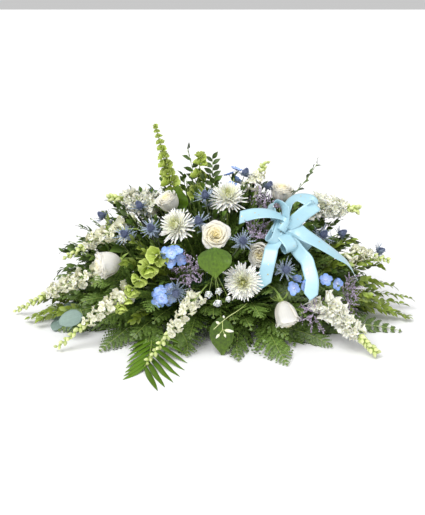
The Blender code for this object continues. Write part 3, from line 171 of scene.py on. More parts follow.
def rose_height(opened):
    """How high a rose is: an open one is a quarter lower than a bud."""
    return ROSE_HEIGHT * (1 - 0.25 * opened)


print(len(ROSES), "roses,", len(MUMS), "chrysanthemums,", len(SPIKES), "flower spikes and", len(BELLS),
      "stems of bells")

# %% [markdown]
# A bow can't be worked out from a few numbers, so its ribbon is drawn as rows of points. Each row
# holds where the ribbon's middle line passes, in millimetres from the knot, and which way its width lies
# there, in hundredths. The directions are right, up and towards the camera, as a bow is read off a picture.
# A small roll is a circle instead: its middle, the direction of its axis, its radius, and from which turn to
# which it goes.

# %% How the ribbon runs
KNOT, BOW_FACING = np.array([0.196, -0.132, 0.304]), np.array([0.0, -0.80, 0.60])
BOW_AXES = np.array([[1, 0, 0], [0, 0.375, 0.927], [0, -0.927, 0.375]])
BANDS = {
    "left_tail": ((4, 10, -2, 10, 55, -80), (0, 34, 4, 0, 50, -85), (-21, 44, 12, 0, 55, -80),
                  (-50, 49, 16, 5, 70, -70), (-85, 47, 10, 20, 85, -50), (-126, 36, -4, 29, 94, -20)),
    "arch": ((2, 4, 0, 50, -30, 80), (6, 36, -12, 50, -15, 85), (12, 66, -18, 50, -20, 85),
             (26, 88, -18, 25, -45, 85), (48, 94, -10, 5, -60, 80), (70, 85, 4, 35, -75, 55),
             (80, 71, 14, 60, -75, 25), (72, 60, 20, 67, -73, 10), (55, 48, 20, 69, -72, 5),
             (32, 28, 14, 69, -72, 0), (8, 8, 5, 69, -72, 0)),
    "small_loop": ((-2, 4, 0, 40, 10, 90), (-20, 32, -14, 45, 30, 85), (-32, 58, -18, 50, 30, 80),
                   (-25, 76, -16, 38, 20, 90), (-10, 76, -8, 40, 0, 90), (3, 58, 6, 50, -5, 85),
                   (5, 36, 10, 50, -5, 85), (4, 8, 6, 50, 0, 85)),
    "side_loop": ((4, -4, -6, 30, 50, 80), (45, -20, -12, 30, 50, 80), (70, -32, -10, 30, 50, 80),
                  (74, -40, -4, 30, 50, 80), (58, -40, 4, 30, 50, 80), (28, -20, 4, 30, 50, 80),
                  (6, -4, 2, 30, 50, 80)),
    "lower_left_tail": ((-2, -3, -2, 95, 20, 20), (-26, -36, 16, 95, 10, 25), (-39, -68, 34, 95, -20, 20),
                        (-45, -93, 40, 95, -20, 15), (-52, -122, 38, 95, -25, 10),
                        (-57, -153, 32, 93, -30, 0), (-62, -174, 26, 90, -35, 0)),
    "middle_tail": ((2, -4, -2, 70, 50, 30), (42, -58, 12, 75, 60, 25), (58, -76, 22, 85, 45, 25),
                    (67, -103, 34, 95, 20, 20), (73, -129, 43, 98, 10, 10), (73, -155, 50, 98, 0, 5),
                    (68, -190, 58, 97, -15, 0)),
    "right_tail": ((2, 0, 0, 50, 80, 0), (28, 8, 8, 40, 90, 10), (57, -11, 14, 45, 85, -30),
                   (99, -36, 16, 42, 60, -65), (143, -65, 14, 35, 42, -80), (185, -102, 12, 15, 15, -95),
                   (204, -141, 14, 10, -10, -98)),
}
ROLLS = {
    "lower_left_roll": ((-27, -23, 6), (-75, 50, 45), 16, (0, 330)),
    "lower_right_roll": ((14, -42, 10), (-85, -38, 35), 16, (0, 330)),
    "wrap": ((1, 18, 2), (-50, -85, 0), 15, (-30, 210)),
}
print("the bow has", len(BANDS) + len(ROLLS), "stretches of ribbon")

# %% [markdown]
# Two small tools are used everywhere: one makes vectors as long as one, and one finds two directions square
# to a third. The curves of the stems are cubic Bezier curves, which leave one point in a chosen direction
# and arrive at another in a chosen direction, as a bent stem does.

# %% Directions and lines
FOAM_HALF, FOAM_TOP = np.array([0.230, 0.055]), 0.100
TRAY_HALF, TRAY_HEIGHT = np.array([0.240, 0.065]), 0.036
STEM_DEPTH, MOUTH, HOLE_PITCH, MARGIN = 0.026, 0.008, 0.033, 0.035
STEM_RADIUS = 0.0026
# Where the rows of holes are: across the foam's top, across its ends, and up its sides and ends.
TOP_ROWS, END_ROWS, SIDE_LEVELS = (-0.018, 0.0, 0.018), (-0.030, 0.0, 0.030), (0.060, 0.083)
# The half sizes of the mound that the leaves face away from, and of the one that the filling sprigs reach.
MOUND_HALF, SPRIGS_HALF = np.array([0.50, 0.27, 0.36]), (0.50, 0.27, 0.39)
# The golden angle, and a distance beyond everything in the scene.
TURN, FAR = math.pi * (3 - math.sqrt(5)), 9


def unit(vectors):
    """Vectors divided by their own lengths, along the last axis."""
    vectors = np.asarray(vectors, float)
    return vectors / np.linalg.norm(vectors, axis=-1, keepdims=True).clip(1e-12)


def basis(axis):
    """Two directions square to the axis and to each other: the cross product with an upright guide, and that
    again."""
    axis = unit(axis)
    guide = np.array([0.0, 0.0, 1.0]) if abs(axis[2]) < 0.9 else np.array([1.0, 0.0, 0.0])
    side = unit(np.cross(guide, axis))
    return side, np.cross(axis, side)


def reach_of(points):
    """The length along a line at each of its points: the running sum of its steps."""
    return np.concatenate([[0], np.cumsum(np.linalg.norm(np.diff(points, axis=0), axis=1))])


def at_lengths(points, wanted):
    """The points of a line at some lengths along it, each in proportion between its two neighbours."""
    reach = reach_of(points)
    return np.stack([np.interp(wanted, reach, column) for column in points.T], axis=1)


def evenly(points, count):
    """The same line with its points evenly spaced along it."""
    return at_lengths(points, np.linspace(0, reach_of(points)[-1], count))


def cubic(controls, steps):
    """A cubic Bezier curve: its four controls weighted by the terms of the cube of (1 - t) + t."""
    t = np.linspace(0, 1, steps)[:, None]
    a, b, c, d = (np.asarray(p, float) for p in controls)
    return (1 - t) ** 3 * a + 3 * (1 - t) ** 2 * t * b + 3 * (1 - t) * t * t * c + t ** 3 * d


# %% [markdown]
# The foam has a grid of places for holes on its top, sides and ends. Each stem takes the nearest free one
# and bends round what is already there, in the same order and by the same rule as the solids do, so that a
# stem here lies exactly in its own hole. A branch leaves the first stem of its plant instead.

# %% Where stems may stand, and their curves
def hole_places():
    """Every place for a hole as (point, outward normal)."""
    places, columns = [], np.arange(-6, 7) * HOLE_PITCH
    for x in columns[np.abs(columns) < FOAM_HALF[0] - MARGIN]:
        places += [((x, y, FOAM_TOP), (0, 0, 1)) for y in TOP_ROWS]
    for way in (-1, 1):
        for k, z in enumerate(SIDE_LEVELS):
            shifted = columns + (k - 0.5) * HOLE_PITCH / 2
            places += [((x, way * FOAM_HALF[1], z), (0, way, 0)) for x in shifted]
        places += [((way * FOAM_HALF[0], y, z), (way, 0, 0)) for y in END_ROWS for z in SIDE_LEVELS]
    return [(np.array(p, float), np.array(n, float)) for p, n in places]


def wanted_hole(goal):
    """Where the straight line from a stem's goal to the foam's middle line meets the foam."""
    middle = np.array([np.clip(0.42 * goal[0], -0.17, 0.17), 0, 0.055])
    half = np.array([*FOAM_HALF, FOAM_TOP - middle[2]])
    step = goal - middle
    beyond = half - middle * np.sign(step) * (1, 1, 0)
    room = np.where(np.abs(step) > 1e-9, beyond / np.abs(step).clip(1e-9), FAR)
    return middle + step * min(room.min(), 1)


def free_curve(point, out, shoot, swing):
    """A Bezier curve from a point, leaving it along out, to the shoot's end along its heading."""
    goal, heading = shoot["via"], shoot["heading"]
    ahead = goal - heading * min(shoot["reach"], 0.45 * np.linalg.norm(goal - point))
    side, up = basis(out)
    push = side * swing[0] + up * swing[1]
    lean = point + out * 0.35 * np.linalg.norm(ahead - point) + push
    line = evenly(cubic((point, lean, ahead + push * 0.5, goal), 60), shoot["steps"] + 1)
    return np.vstack([line, shoot["end"]]) if shoot["end"] is not goal else line


def route(hole, shoot, swing):
    """A stem's line: straight out of its hole, then one free curve."""
    point, normal = hole
    out = unit(0.45 * normal + unit(shoot["via"] - shoot["heading"] * shoot["reach"] - point))
    if out @ normal < 0.5:
        out = unit(out + normal * 0.5)
    return np.vstack([point - out * STEM_DEPTH, free_curve(point + out * MOUTH, out, shoot, swing)])


def branch(trunk, start, shoot, swing):
    """A side branch's line, which leaves the trunk at one length along it."""
    point, beyond = at_lengths(trunk, [start, start + 0.004])
    along, toward = unit(beyond - point), unit(shoot["via"] - shoot["heading"] * shoot["reach"] - point)
    return free_curve(point, unit(toward + 0.6 * unit(toward - along * (toward @ along))), shoot, swing)


print(len(hole_places()), "places for holes in the foam")


# %% [markdown]
# Real stems push each other aside, and a computer lets them pass through. So balls along each stem stand for
# it, and a new stem tries one hole and one bend after another until its balls have room among all the
# earlier ones. If none has room, it keeps the best try. Balls are used because the gap between two of them
# is only a distance less two radii.

# %% Keep stems apart
class Space:
    """Balls that stand for everything in place, which tell how much room a new stem has."""

    def __init__(self):
        self.centres, self.radii, self.owners = np.zeros((0, 3)), np.zeros(0), np.zeros(0, int)

    def add(self, centres, radii, owner):
        """Keeps some balls, and the number of the plant that they belong to."""
        centres = np.atleast_2d(centres)
        self.centres = np.vstack([self.centres, centres])
        self.radii = np.concatenate([self.radii, np.broadcast_to(radii, len(centres))])
        self.owners = np.concatenate([self.owners, np.full(len(centres), owner)])

    def room(self, centres, radii, owner, joined):
        """The least gap between the new balls and the others, the foam and the tray."""
        gaps = np.linalg.norm(centres[:, None] - self.centres[None], axis=2)
        gaps = gaps - self.radii[None] - radii[:, None]
        own, far = self.owners[None] == owner, np.linalg.norm(centres - centres[0], axis=1)
        from_start = np.linalg.norm(self.centres - centres[0], axis=1)
        near = (far[:, None] < joined) & (from_start[None] < joined * 1.3)
        room = np.where(own & (near | (joined == 0)), FAR, gaps).min(initial=FAR)
        free = far > (STEM_DEPTH + MOUTH if joined == 0 else 0)
        for half, high in ((FOAM_HALF, FOAM_TOP), (TRAY_HALF, TRAY_HEIGHT)):
            beyond = np.column_stack([np.abs(centres[:, :2]) - half, centres[:, 2] - high, -centres[:, 2]])
            gaps = np.linalg.norm(np.maximum(beyond, 0), axis=1) - radii
            room = min(room, np.where(free, gaps, FAR).min())
        return float(room)


# How far apart balls stand along a stem, what is added to its radius, the room that stems keep, and how far
# from its fork a branch need not keep it.
BALL_STEP, SLACK, LEAST_ROOM, JOINED = 0.004, 0.0006, 0.0012, 0.014
# How far forks on one trunk are apart, how far out of its hole the first may be, and by which steps the
# distance to the others counts.
FORK_GAP, FORK_START, FORK_STEP = 0.0075, 0.012, 0.006
HOLES_TRIED = 7
# Sideways pushes of a bend: none, and then further and further to six sides.
SWINGS = [(0, 0)] + [(r * math.cos(a), r * math.sin(a)) for r in (0.012, 0.024, 0.040)
                     for a in np.arange(6) * math.pi / 3]


def fork_choices(trunk, shares, used):
    """Lengths along a trunk where a branch may leave it, those far from the used ones first."""
    total = reach_of(trunk)[-1] - STEM_DEPTH
    starts = [max(STEM_DEPTH + share * total, STEM_DEPTH + MOUTH + FORK_START) for share in shares]
    choices = [(start, None) for start in starts if all(abs(start - u) > FORK_GAP for u in used)]
    return sorted(choices, key=lambda choice: -min([abs(choice[0] - u) for u in used],
                                                   default=0) // FORK_STEP)


def hole_choices(goal, places, taken):
    """The numbers of the free holes that are nearest to where a stem wants to come in."""
    free = [k for k in range(len(places)) if k not in taken]
    free.sort(key=lambda k: np.linalg.norm(places[k][0] - goal))
    return [(None, k) for k in free[:HOLES_TRIED]]


def balls_along(line, shoot):
    """Balls at even steps along a stem, which are thicker in the zone of its flowers or leaves."""
    length = reach_of(line)[-1]
    dense = evenly(line, max(int(length / BALL_STEP), 8))
    left = np.linspace(length, 0, len(dense))
    return dense, np.where(left < shoot["zone"], shoot["fat"], shoot["radius"]) + SLACK


def settle(shoots, space):
    """Gives each shoot a line: from the nearest free hole, or out of the trunk of its own plant."""
    places, taken, trunks, routes = hole_places(), set(), {}, {}
    for shoot in shoots:
        owner, best = shoot["owner"], None
        trunk = trunks.get(owner)
        if trunk is None:
            choices = hole_choices(wanted_hole(shoot["goal"]), places, taken)
        else:
            choices = fork_choices(trunk, shoot["forks"], [r["start"] for r in routes[shoot["name"]][1:]])
        for swing, (start, k) in itertools.product(SWINGS, choices):
            line = route(places[k], shoot, swing) if trunk is None else branch(trunk, start, shoot, swing)
            balls = balls_along(line, shoot)
            room = space.room(*balls, owner, 0.0 if trunk is None else JOINED) - LEAST_ROOM
            if best is None or room > best[0]:
                best = (room, start, k, line, balls)
            if room >= 0:
                break
        start, k, line, balls = best[1:]
        if trunk is None:
            taken.add(k)
            trunks[owner] = line
        space.add(*balls, owner)
        routes.setdefault(shoot["name"], []).append({"line": line, "start": start})
    return routes


# %% [markdown]
# Now every stem is listed with its end, its heading and how thick it is. The order matters: the big blooms
# take their holes first, and the ferns fill what is left, as a florist who adds greenery last would work.

# %% Settle all the stems
# How far up its trunk a branch may fork, as shares of the trunk, for flowers and for fronds.
FORKS, LOW_FORKS = (0.42, 0.30, 0.54, 0.20, 0.62), (0.12, 0.20, 0.28, 0.36, 0.16, 0.24, 0.32)


def plan_shoots():
    """The stems, in the order in which they take their holes."""
    shoots, owners = [], {}

    def shoot(name, end, heading, radius, reach=0.08, zone=0.0, fat=0.0, goal=None, steps=5, forks=FORKS,
              via=None):
        """Lists one stem: where it ends and passes, its heading there, and how thick its last zone is."""
        end = np.array(end, float)
        shoots.append({
            "name": name, "owner": owners.setdefault(name, len(owners)), "end": end, "heading": unit(heading),
            "via": end if via is None else np.array(via, float), "reach": reach, "radius": radius,
            "zone": zone, "fat": max(fat, radius), "steps": steps, "forks": forks,
            "goal": end if goal is None else np.array(goal, float)})

    shoot("bow_pick", KNOT - BOW_FACING * 0.0114, BOW_FACING, 0.0018)
    for name, (centre, facing, opened) in ROSES.items():
        shoot("rose_" + name, centre - unit(facing) * rose_height(opened) / 2, facing, STEM_RADIUS)
    for name, (centre, facing) in MUMS.items():
        shoot("mum_" + name, centre - unit(facing) * 0.016, facing, 0.0028)
    for group, radius, fat in ((SPIKES, STEM_RADIUS, 0.009), (BELLS, 0.0030, 0.010)):
        for name, (start, tip) in group.items():
            along = np.array(tip) - start
            shoot(name, tip, along, radius, 0.09, float(np.linalg.norm(along)), fat, start, 5, via=start)
    for group, radius, fat in ((DELPHINIUMS, STEM_RADIUS, 0.008), (THISTLES, 0.0022, 0.006),
                               (STATICES, 0.0022, 0.003)):
        for name, heads in group.items():
            for head in heads:
                away = np.array(head) - (0.45 * head[0], 0, 0.12)
                shoot(name, head, away, radius, 0.05, 0.02, fat, np.mean(heads, axis=0), 4)
    for name, heads in SALALS.items():
        for tip, heading, _ in heads:
            shoot(name, tip, heading, 0.0022, 0.10, 0.09, 0.003, np.mean([h[0] for h in heads], axis=0), 5)
    for group in (PALMS, FERNS, EUCALYPTUSES, RUSCUSES):
        for name, tips in group.items():
            for tip in tips:
                fall = -0.30 if tip[2] < 0.2 else 1.6
                heading = unit(np.array([tip[0] * 0.75, tip[1], 0])) + np.array([0, 0, fall])
                shoot(name, tip, heading, 0.0021, 0.12, 0.10, 0.003, np.mean(tips, axis=0) * (1, 1, 0.8), 9,
                      LOW_FORKS)
    return shoots


def rolled(centre, axis, radius, turns):
    """Rows of a band rolled round an axis: the cosine and sine of the turn times the radius, square to the
    axis."""
    axis = unit(axis)
    down = unit(np.array([axis[1], -axis[0], 0]) * (1 if axis[0] > 0 else -1))
    out = np.cross(axis, down) * np.sign(np.cross(axis, down)[2])
    turn = np.radians(np.linspace(*turns, 9))[:, None]
    ring = np.array(centre) + radius * (np.sin(turn) * out - np.cos(turn) * down)
    return np.hstack([ring, np.broadcast_to(axis * 100, ring.shape)])


def bands_of_bow():
    """Each ribbon of the bow as rows of a place and a direction across it, in metres from the knot."""
    bands = {name: np.array(rows, float) for name, rows in BANDS.items()}
    for name, (centre, axis, radius, turns) in ROLLS.items():
        ring = rolled(centre, axis, radius, turns)
        bands[name] = ring if name == "wrap" else np.vstack([[0, 0, -3, *axis], ring, [0, 0, 4, *axis]])
    return {name: np.hstack([KNOT + rows[:, :3] @ BOW_AXES / 1000, rows[:, 3:] @ BOW_AXES / 100])
            for name, rows in bands.items()}


shoots = plan_shoots()
owner_of = {shoot["name"]: shoot["owner"] for shoot in shoots}
space = Space()
for name, (centre, _, _) in ROSES.items():
    space.add(np.array(centre), ROSE_RADIUS * 1.12, owner_of["rose_" + name])
for name, (centre, _) in MUMS.items():
    space.add(np.array(centre), MUM_RADIUS * 0.62, owner_of["mum_" + name])
bands = bands_of_bow()
space.add(np.vstack([KNOT[None], *[rows[:, :3] for rows in bands.values()]]), 0.012, owner_of["bow_pick"])
ROUTES = settle(shoots, space)
print(len(ROUTES), "plants,", sum(len(ways) for ways in ROUTES.values()), "stems and branches")

# %% [markdown]
# Every piece is gathered from grids of points. A grid has rows along a petal, leaf or stem and columns
# across it or round it, and neighbouring points make its faces. Each point keeps how far across and along
# its own petal it is, and the petal's tone, in an attribute called blade, so that a material can tell the
# root of a petal from its rim.

# %% Gather grids into a piece
LOWEST = 0.0012  # no point lies nearer to the table than this, in metres
FIRM, THIN = 0.0004, 0.0003  # wall thicknesses in metres, of rose petals and ribbon, and of cups and leaves


class Piece:
    """Grids of points gathered into one mesh. Its faces join each point to the next in its row and column."""

    def __init__(self):
        self.points, self.marks, self.loops, self.sizes, self.kinds, self.count = [], [], [], [], [], 0

    def add(self, grids, kind=0, tone=0.5, closed=False):
        """Adds grids. A closed one joins its last column to its first and has a lid at both ends."""
        many, rows, columns, _ = grids.shape
        index = self.count + np.arange(many * rows * columns).reshape(many, rows, columns)
        round_it = np.concatenate([index, index[:, :, :1]], axis=2) if closed else index
        quads = np.stack([round_it[:, :-1, :-1], round_it[:, :-1, 1:],
                          round_it[:, 1:, 1:], round_it[:, 1:, :-1]], axis=-1)
        self.loops.append(quads.ravel())
        self.sizes.append(np.full(quads.size // 4, 4))
        if closed:
            self.loops += [index[:, 0, ::-1].ravel(), index[:, -1].ravel()]
            self.sizes.append(np.full(2 * many, columns))
        self.kinds.append(np.full(quads.size // 4 + (2 * many if closed else 0), kind))
        across, along = np.meshgrid(np.linspace(0, 1, columns), np.linspace(0, 1, rows))
        marks = np.empty(grids.shape)
        marks[..., 0], marks[..., 1] = across, along
        marks[..., 2] = np.broadcast_to(tone, many)[:, None, None]
        self.points.append(grids.reshape(-1, 3))
        self.marks.append(marks.reshape(-1, 3))
        self.count += many * rows * columns

    def finish(self, name, materials, slot, nodes, thickness=0):
        """Makes the mesh, and hides the solids that it stands for."""
        points, loops, sizes = np.vstack(self.points), np.concatenate(self.loops), np.concatenate(self.sizes)
        points[:, 2] = np.maximum(points[:, 2], LOWEST + thickness)
        mesh = bpy.data.meshes.new(name)
        mesh.vertices.add(len(points))
        mesh.vertices.foreach_set("co", points.ravel())
        mesh.loops.add(len(loops))
        mesh.loops.foreach_set("vertex_index", loops)
        mesh.polygons.add(len(sizes))
        mesh.polygons.foreach_set("loop_start", np.concatenate([[0], np.cumsum(sizes)[:-1]]))
        for material in materials:
            mesh.materials.append(material)
        mesh.polygons.foreach_set("material_index", np.concatenate(self.kinds))
        mesh.polygons.foreach_set("use_smooth", np.ones(len(sizes), bool))
        marks = mesh.attributes.new("blade", "FLOAT_VECTOR", "POINT")
        marks.data.foreach_set("vector", np.vstack(self.marks).ravel())
        mesh.update(calc_edges=True)
        made = bpy.data.objects.new(name, mesh)
        bpy.context.scene.collection.objects.link(made)
        if thickness:
            wall = made.modifiers.new("Thickness", "SOLIDIFY")
            wall.thickness, wall.offset = thickness, 0
        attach(made, "root")
        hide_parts(*nodes)
        print(name, int((sizes - 2).sum()) * (2 if thickness else 1), "triangles")
        return made


# %% [markdown]
# A frame is three directions for each element: across it, along it, and out of its face. One multiplication
# turns all the grids of a flower at once. A blade is any petal or leaf. A tube is a stem, and a cup is a
# flower that is one round surface, such as a bell.

# %% Shapes that every flower uses
def frames_of(ways, faces):
    """Rows across, along and out for each element: out is the face less its part along the way."""
    ways = unit(np.atleast_2d(ways))
    faces = np.broadcast_to(faces, ways.shape)
    out = unit(faces - ways * (faces * ways).sum(-1, keepdims=True))
    return np.stack([np.cross(ways, out), ways, out], axis=1)


def put(grids, roots, frames):
    """Turns each grid by its frame and moves it to its root."""
    return np.einsum("kmni,kij->kmnj", grids, frames) + np.asarray(roots)[:, None, None, :]


def per_grid(value):
    """A number for each grid, or one for all, shaped to spread over its rows and columns."""
    return np.atleast_1d(np.asarray(value, float))[:, None, None]


def turns_of(count):
    """Even turns round a circle, in radians."""
    return np.arange(count) * 2 * math.pi / count


def grids_of(count, rows, columns, *parts):
    """Grids of points from their three coordinates, each spread over every row and column of every grid."""
    return np.stack([np.broadcast_to(part, (count, rows, columns)) for part in parts], axis=-1)


def twice(rows):
    """The same rows for both sides."""
    return np.vstack([rows, rows])


# How many waves a rippled rim has, and how far the next petal's waves are shifted, in radians.
RIPPLE_WAVES, PHASE_SHIFT = 2.5, 2.4


def blades(roots, ways, faces, lengths, widths, outline, rows=7, columns=5, bend=0.0, cup=0.0, ripple=0.0):
    """Petals and leaves. A blade's slope grows from none to bend, so its middle line is the running sum of
    the slope's cosine and sine. Across, a point is the outline's share of half the width to a side, and it
    is raised by cup times the square of how far across it is, and by a sine along the rim."""
    v, u = np.linspace(0, 1, rows)[None, :, None], np.linspace(-1, 1, columns)[None, None, :]
    slope = per_grid(bend) * v
    share = np.interp(v, np.linspace(0, 1, len(outline)), outline)
    middles = slope - per_grid(bend) * 0.5 / (rows - 1)
    steps = np.where(v > 0, 1.0, 0.0) / (rows - 1)
    go, rise = np.cumsum(np.cos(middles) * steps, axis=1), np.cumsum(np.sin(middles) * steps, axis=1)
    half = per_grid(widths) / 2 * share
    wave = np.sin(2 * math.pi * RIPPLE_WAVES * v + per_grid(np.arange(len(roots)) * PHASE_SHIFT) + u)
    lift = half * (per_grid(cup) * u ** 2 + per_grid(ripple) * np.abs(u) * wave)
    along = per_grid(lengths) * go - lift * np.sin(slope)
    out = per_grid(lengths) * rise + lift * np.cos(slope)
    return put(grids_of(len(roots), rows, columns, half * u, along, out), roots, frames_of(ways, faces))


def tubes(lines, radii, sides=6, guide=None):
    """Stems along lines: at each point, the cosine and sine of the turn times the radius, square to the
    line."""
    lines = lines if lines.ndim == 3 else lines[None]
    ahead = unit(np.gradient(lines, axis=1))
    if guide is None:
        guide = np.cross(ahead[:, 0], ahead[:, -1])
        plain = np.linalg.norm(guide, axis=1) < 0.05
        guide[plain] = np.array([basis(way)[0] for way in ahead[plain, 0]]).reshape(-1, 3)
    side = unit(np.cross(np.broadcast_to(guide, (len(lines), 3))[:, None], ahead))
    up = np.cross(ahead, side)
    turns = turns_of(sides)
    radii = np.broadcast_to(radii, lines.shape[:2])[:, :, None, None]
    return lines[:, :, None] + radii * (
        side[:, :, None] * np.cos(turns)[:, None] + up[:, :, None] * np.sin(turns)[:, None])


def cups(roots, ways, faces, lengths, radii, lobes=5, notch=0.3, flare=0.6, throat=0.12, flat=1.0, ruffle=0.0,
         rows=6, columns=20):
    """Round flowers. The radius grows from throat to rim as a power of the share along, and the height slows
    down by the power flat. Towards the rim a cosine of the turn cuts the lobes, and a sine ruffles them."""
    v, t = np.linspace(0, 1, rows)[None, :, None], turns_of(columns)[None, None, :]
    phase = per_grid(np.arange(len(roots)) * PHASE_SHIFT)
    lobe = 1 - notch * v ** 2 * (0.5 - 0.5 * np.cos(lobes * t)) ** 1.5
    radius = per_grid(radii) * (throat + (1 - throat) * v ** flare) * lobe
    height = (per_grid(lengths) * (1 - (1 - v) ** flat)
              + per_grid(radii) * ruffle * v ** 3 * np.sin(2 * lobes * t + phase))
    grids = grids_of(len(roots), rows, columns, radius * np.cos(t), height, -radius * np.sin(t))
    return put(grids, roots, frames_of(ways, faces))


def buds(roots, ways, faces, lengths, radii, rows=6, sides=6, point=0.8):
    """Closed buds: the radius is the sine of half a turn along, and a power moves its thickest part."""
    v, t = np.linspace(0.02, 0.98, rows)[None, :, None], turns_of(sides)[None, None, :]
    radius = per_grid(radii) * np.sin(math.pi * v ** point) ** 0.8
    grids = grids_of(len(roots), rows, sides, radius * np.cos(t), per_grid(lengths) * v, -radius * np.sin(t))
    return put(grids, roots, frames_of(ways, faces))


def smooth(points, count):
    """A smooth line through points: cubic pieces, whose slope at a point is the step between its
    neighbours."""
    reach = reach_of(points)
    slopes = np.gradient(points, reach, axis=0)
    wanted = np.linspace(0, reach[-1], count)
    k = np.clip(np.searchsorted(reach, wanted) - 1, 0, len(reach) - 2)
    gap = (reach[k + 1] - reach[k])[:, None]
    t = (wanted - reach[k])[:, None] / gap
    return ((2 * t ** 3 - 3 * t ** 2 + 1) * points[k] + (t ** 3 - 2 * t ** 2 + t) * gap * slopes[k]
            + (3 * t ** 2 - 2 * t ** 3) * points[k + 1] + (t ** 3 - t ** 2) * gap * slopes[k + 1])


def taper(piece, line, thick, thin, sides, kind=0):
    """Adds a stem along a line, whose radius falls evenly from thick to thin."""
    piece.add(tubes(line, np.linspace(thick, thin, len(line)), sides), kind, closed=True)


def ring_of(count, axis, start=0.0):
    """Directions round an axis, each turned by the golden angle from the last, so that none hides another."""
    side, up = basis(axis)
    turns = start + np.arange(count) * TURN
    return np.outer(np.cos(turns), side) + np.outer(np.sin(turns), up)


def outward(points):
    """The way out of the mound at some points: square to an ellipsoid with the mound's half sizes."""
    return unit(np.asarray(points) / MOUND_HALF ** 2)


def sides_of(seats, upright):
    """At each point of a stem, the ways along it, to its side, and square to both, out of the mound."""
    ahead = unit(np.gradient(seats, axis=0))
    side = unit(np.cross(ahead, unit(outward(seats) + np.array([0, 0, upright]))))
    return ahead, side, np.cross(side, ahead)


print("a blade of 7 rows and 5 columns has", 2 * 6 * 4, "triangles")

# %% [markdown]
# Petals and leaves share one effect: a colour that changes from root to tip, a little from one petal to the
# next and in small blotches, with fine veins. It is built once as a node group, and each material gives it
# its own colours.

# %% Shared effect: petal and leaf colour
def put_node(tree, kind, inputs=(), **settings):
    """Adds a node, sets it, and fills its inputs with values or links."""
    made = tree.nodes.new(kind)
    for key, value in settings.items():
        setattr(made, key, value)
    for key, value in dict(inputs).items():
        if isinstance(value, bpy.types.NodeSocket):
            tree.links.new(value, made.inputs[key])
        else:
            made.inputs[key].default_value = value
    return made


def fill(node, values):
    """Sets a node's inputs by their names."""
    for key, value in values.items():
        node.inputs[key].default_value = value


def new_material(name):
    """A new material with its node tree and its shader."""
    made = bpy.data.materials.new(name)
    made.use_nodes = True
    return made, made.node_tree, made.node_tree.nodes["Principled BSDF"]


def math_node(tree, operation, *values):
    """A Math node's result."""
    return put_node(tree, "ShaderNodeMath", enumerate(values), operation=operation).outputs[0]


def mix_colours(tree, share, first, second):
    """A Mix node between two colours."""
    made = put_node(tree, "ShaderNodeMix", {0: share, 6: first, 7: second}, data_type="RGBA")
    return made.outputs[2]


def new_group(name, inputs, outputs):
    """A node group with named inputs and outputs."""
    group = bpy.data.node_groups.new(name, "ShaderNodeTree")
    for key, value in inputs.items():
        kind = "NodeSocketColor" if isinstance(value, tuple) else "NodeSocketFloat"
        group.interface.new_socket(name=key, in_out="INPUT", socket_type=kind).default_value = value
    for key, kind in outputs.items():
        group.interface.new_socket(name=key, in_out="OUTPUT", socket_type=kind)
    return group, group.nodes.new("NodeGroupInput").outputs, group.nodes.new("NodeGroupOutput")


# A higher power makes thinner veins, and a higher factor a thinner midrib.
VEIN_SHARPNESS, MIDRIB_FINENESS = 8.0, 22.0
blade_look, given, result = new_group("blade look", {
    "Root": (0.1, 0.3, 0.05, 1), "Tip": (0.1, 0.3, 0.05, 1), "Heart": (0.5, 0.6, 0.1, 1), "Heart Share": 0.0,
    "Blotches": 0.2, "Variety": 0.4, "Veins": 0.0, "Slant": 6.0, "Vein Strength": 0.2, "Roughness": 0.5},
    {"Color": "NodeSocketColor", "Height": "NodeSocketFloat", "Roughness": "NodeSocketFloat"})
calc = functools.partial(math_node, blade_look)
marks = put_node(blade_look, "ShaderNodeSeparateXYZ", {0: put_node(
    blade_look, "ShaderNodeAttribute", attribute_name="blade").outputs["Vector"]}).outputs
place = put_node(blade_look, "ShaderNodeTexCoord").outputs["Object"]
noise = put_node(blade_look, "ShaderNodeTexNoise", {"Vector": place, "Scale": 130.0, "Detail": 4.0})
noise = noise.outputs["Fac"]
uneven = calc("SUBTRACT", noise, 0.5)
colour = mix_colours(blade_look, marks[1], given["Root"], given["Tip"])
colour = mix_colours(blade_look, calc("MULTIPLY", marks[2], given["Heart Share"]), colour, given["Heart"])
side = calc("ABSOLUTE", calc("SUBTRACT", marks[0], 0.5))
phase = calc("SUBTRACT", calc("MULTIPLY", marks[1], given["Veins"]), calc("MULTIPLY", side, given["Slant"]))
wave = calc("COSINE", calc("MULTIPLY", phase, 2 * math.pi))
vein = calc("POWER", calc("MULTIPLY_ADD", wave, 0.5, 0.5), VEIN_SHARPNESS)
midrib = calc("SUBTRACT", 1.0, calc("MULTIPLY", side, MIDRIB_FINENESS))
midrib = put_node(blade_look, "ShaderNodeClamp", {"Value": midrib}).outputs[0]
vein = calc("MULTIPLY", calc("MAXIMUM", vein, midrib), given["Vein Strength"])
light = calc("MULTIPLY_ADD", uneven, calc("MULTIPLY", given["Blotches"], 3.0), 1.0)
light = calc("MULTIPLY_ADD", calc("SUBTRACT", marks[2], 0.5), given["Variety"], light)
light = calc("ADD", light, vein)
scaled = put_node(blade_look, "ShaderNodeVectorMath", {0: colour, "Scale": light}, operation="SCALE")
blade_look.links.new(scaled.outputs[0], result.inputs["Color"])
blade_look.links.new(calc("MULTIPLY_ADD", noise, 0.3, vein), result.inputs["Height"])
blade_look.links.new(calc("MULTIPLY_ADD", uneven, 0.35, given["Roughness"]), result.inputs["Roughness"])
print("blade look has", len(blade_look.nodes), "nodes")

# %% [markdown]
# Every petal and leaf has a material of its own, which gives the shared effect its colours and keeps the
# shader. White petals let light in and scatter it, so they have some subsurface. Fern, salal and ruscus have
# a thin waxy coat. Each tip is lighter than its root, as young growth is, and a heart colour is mixed in
# where the tone is high.

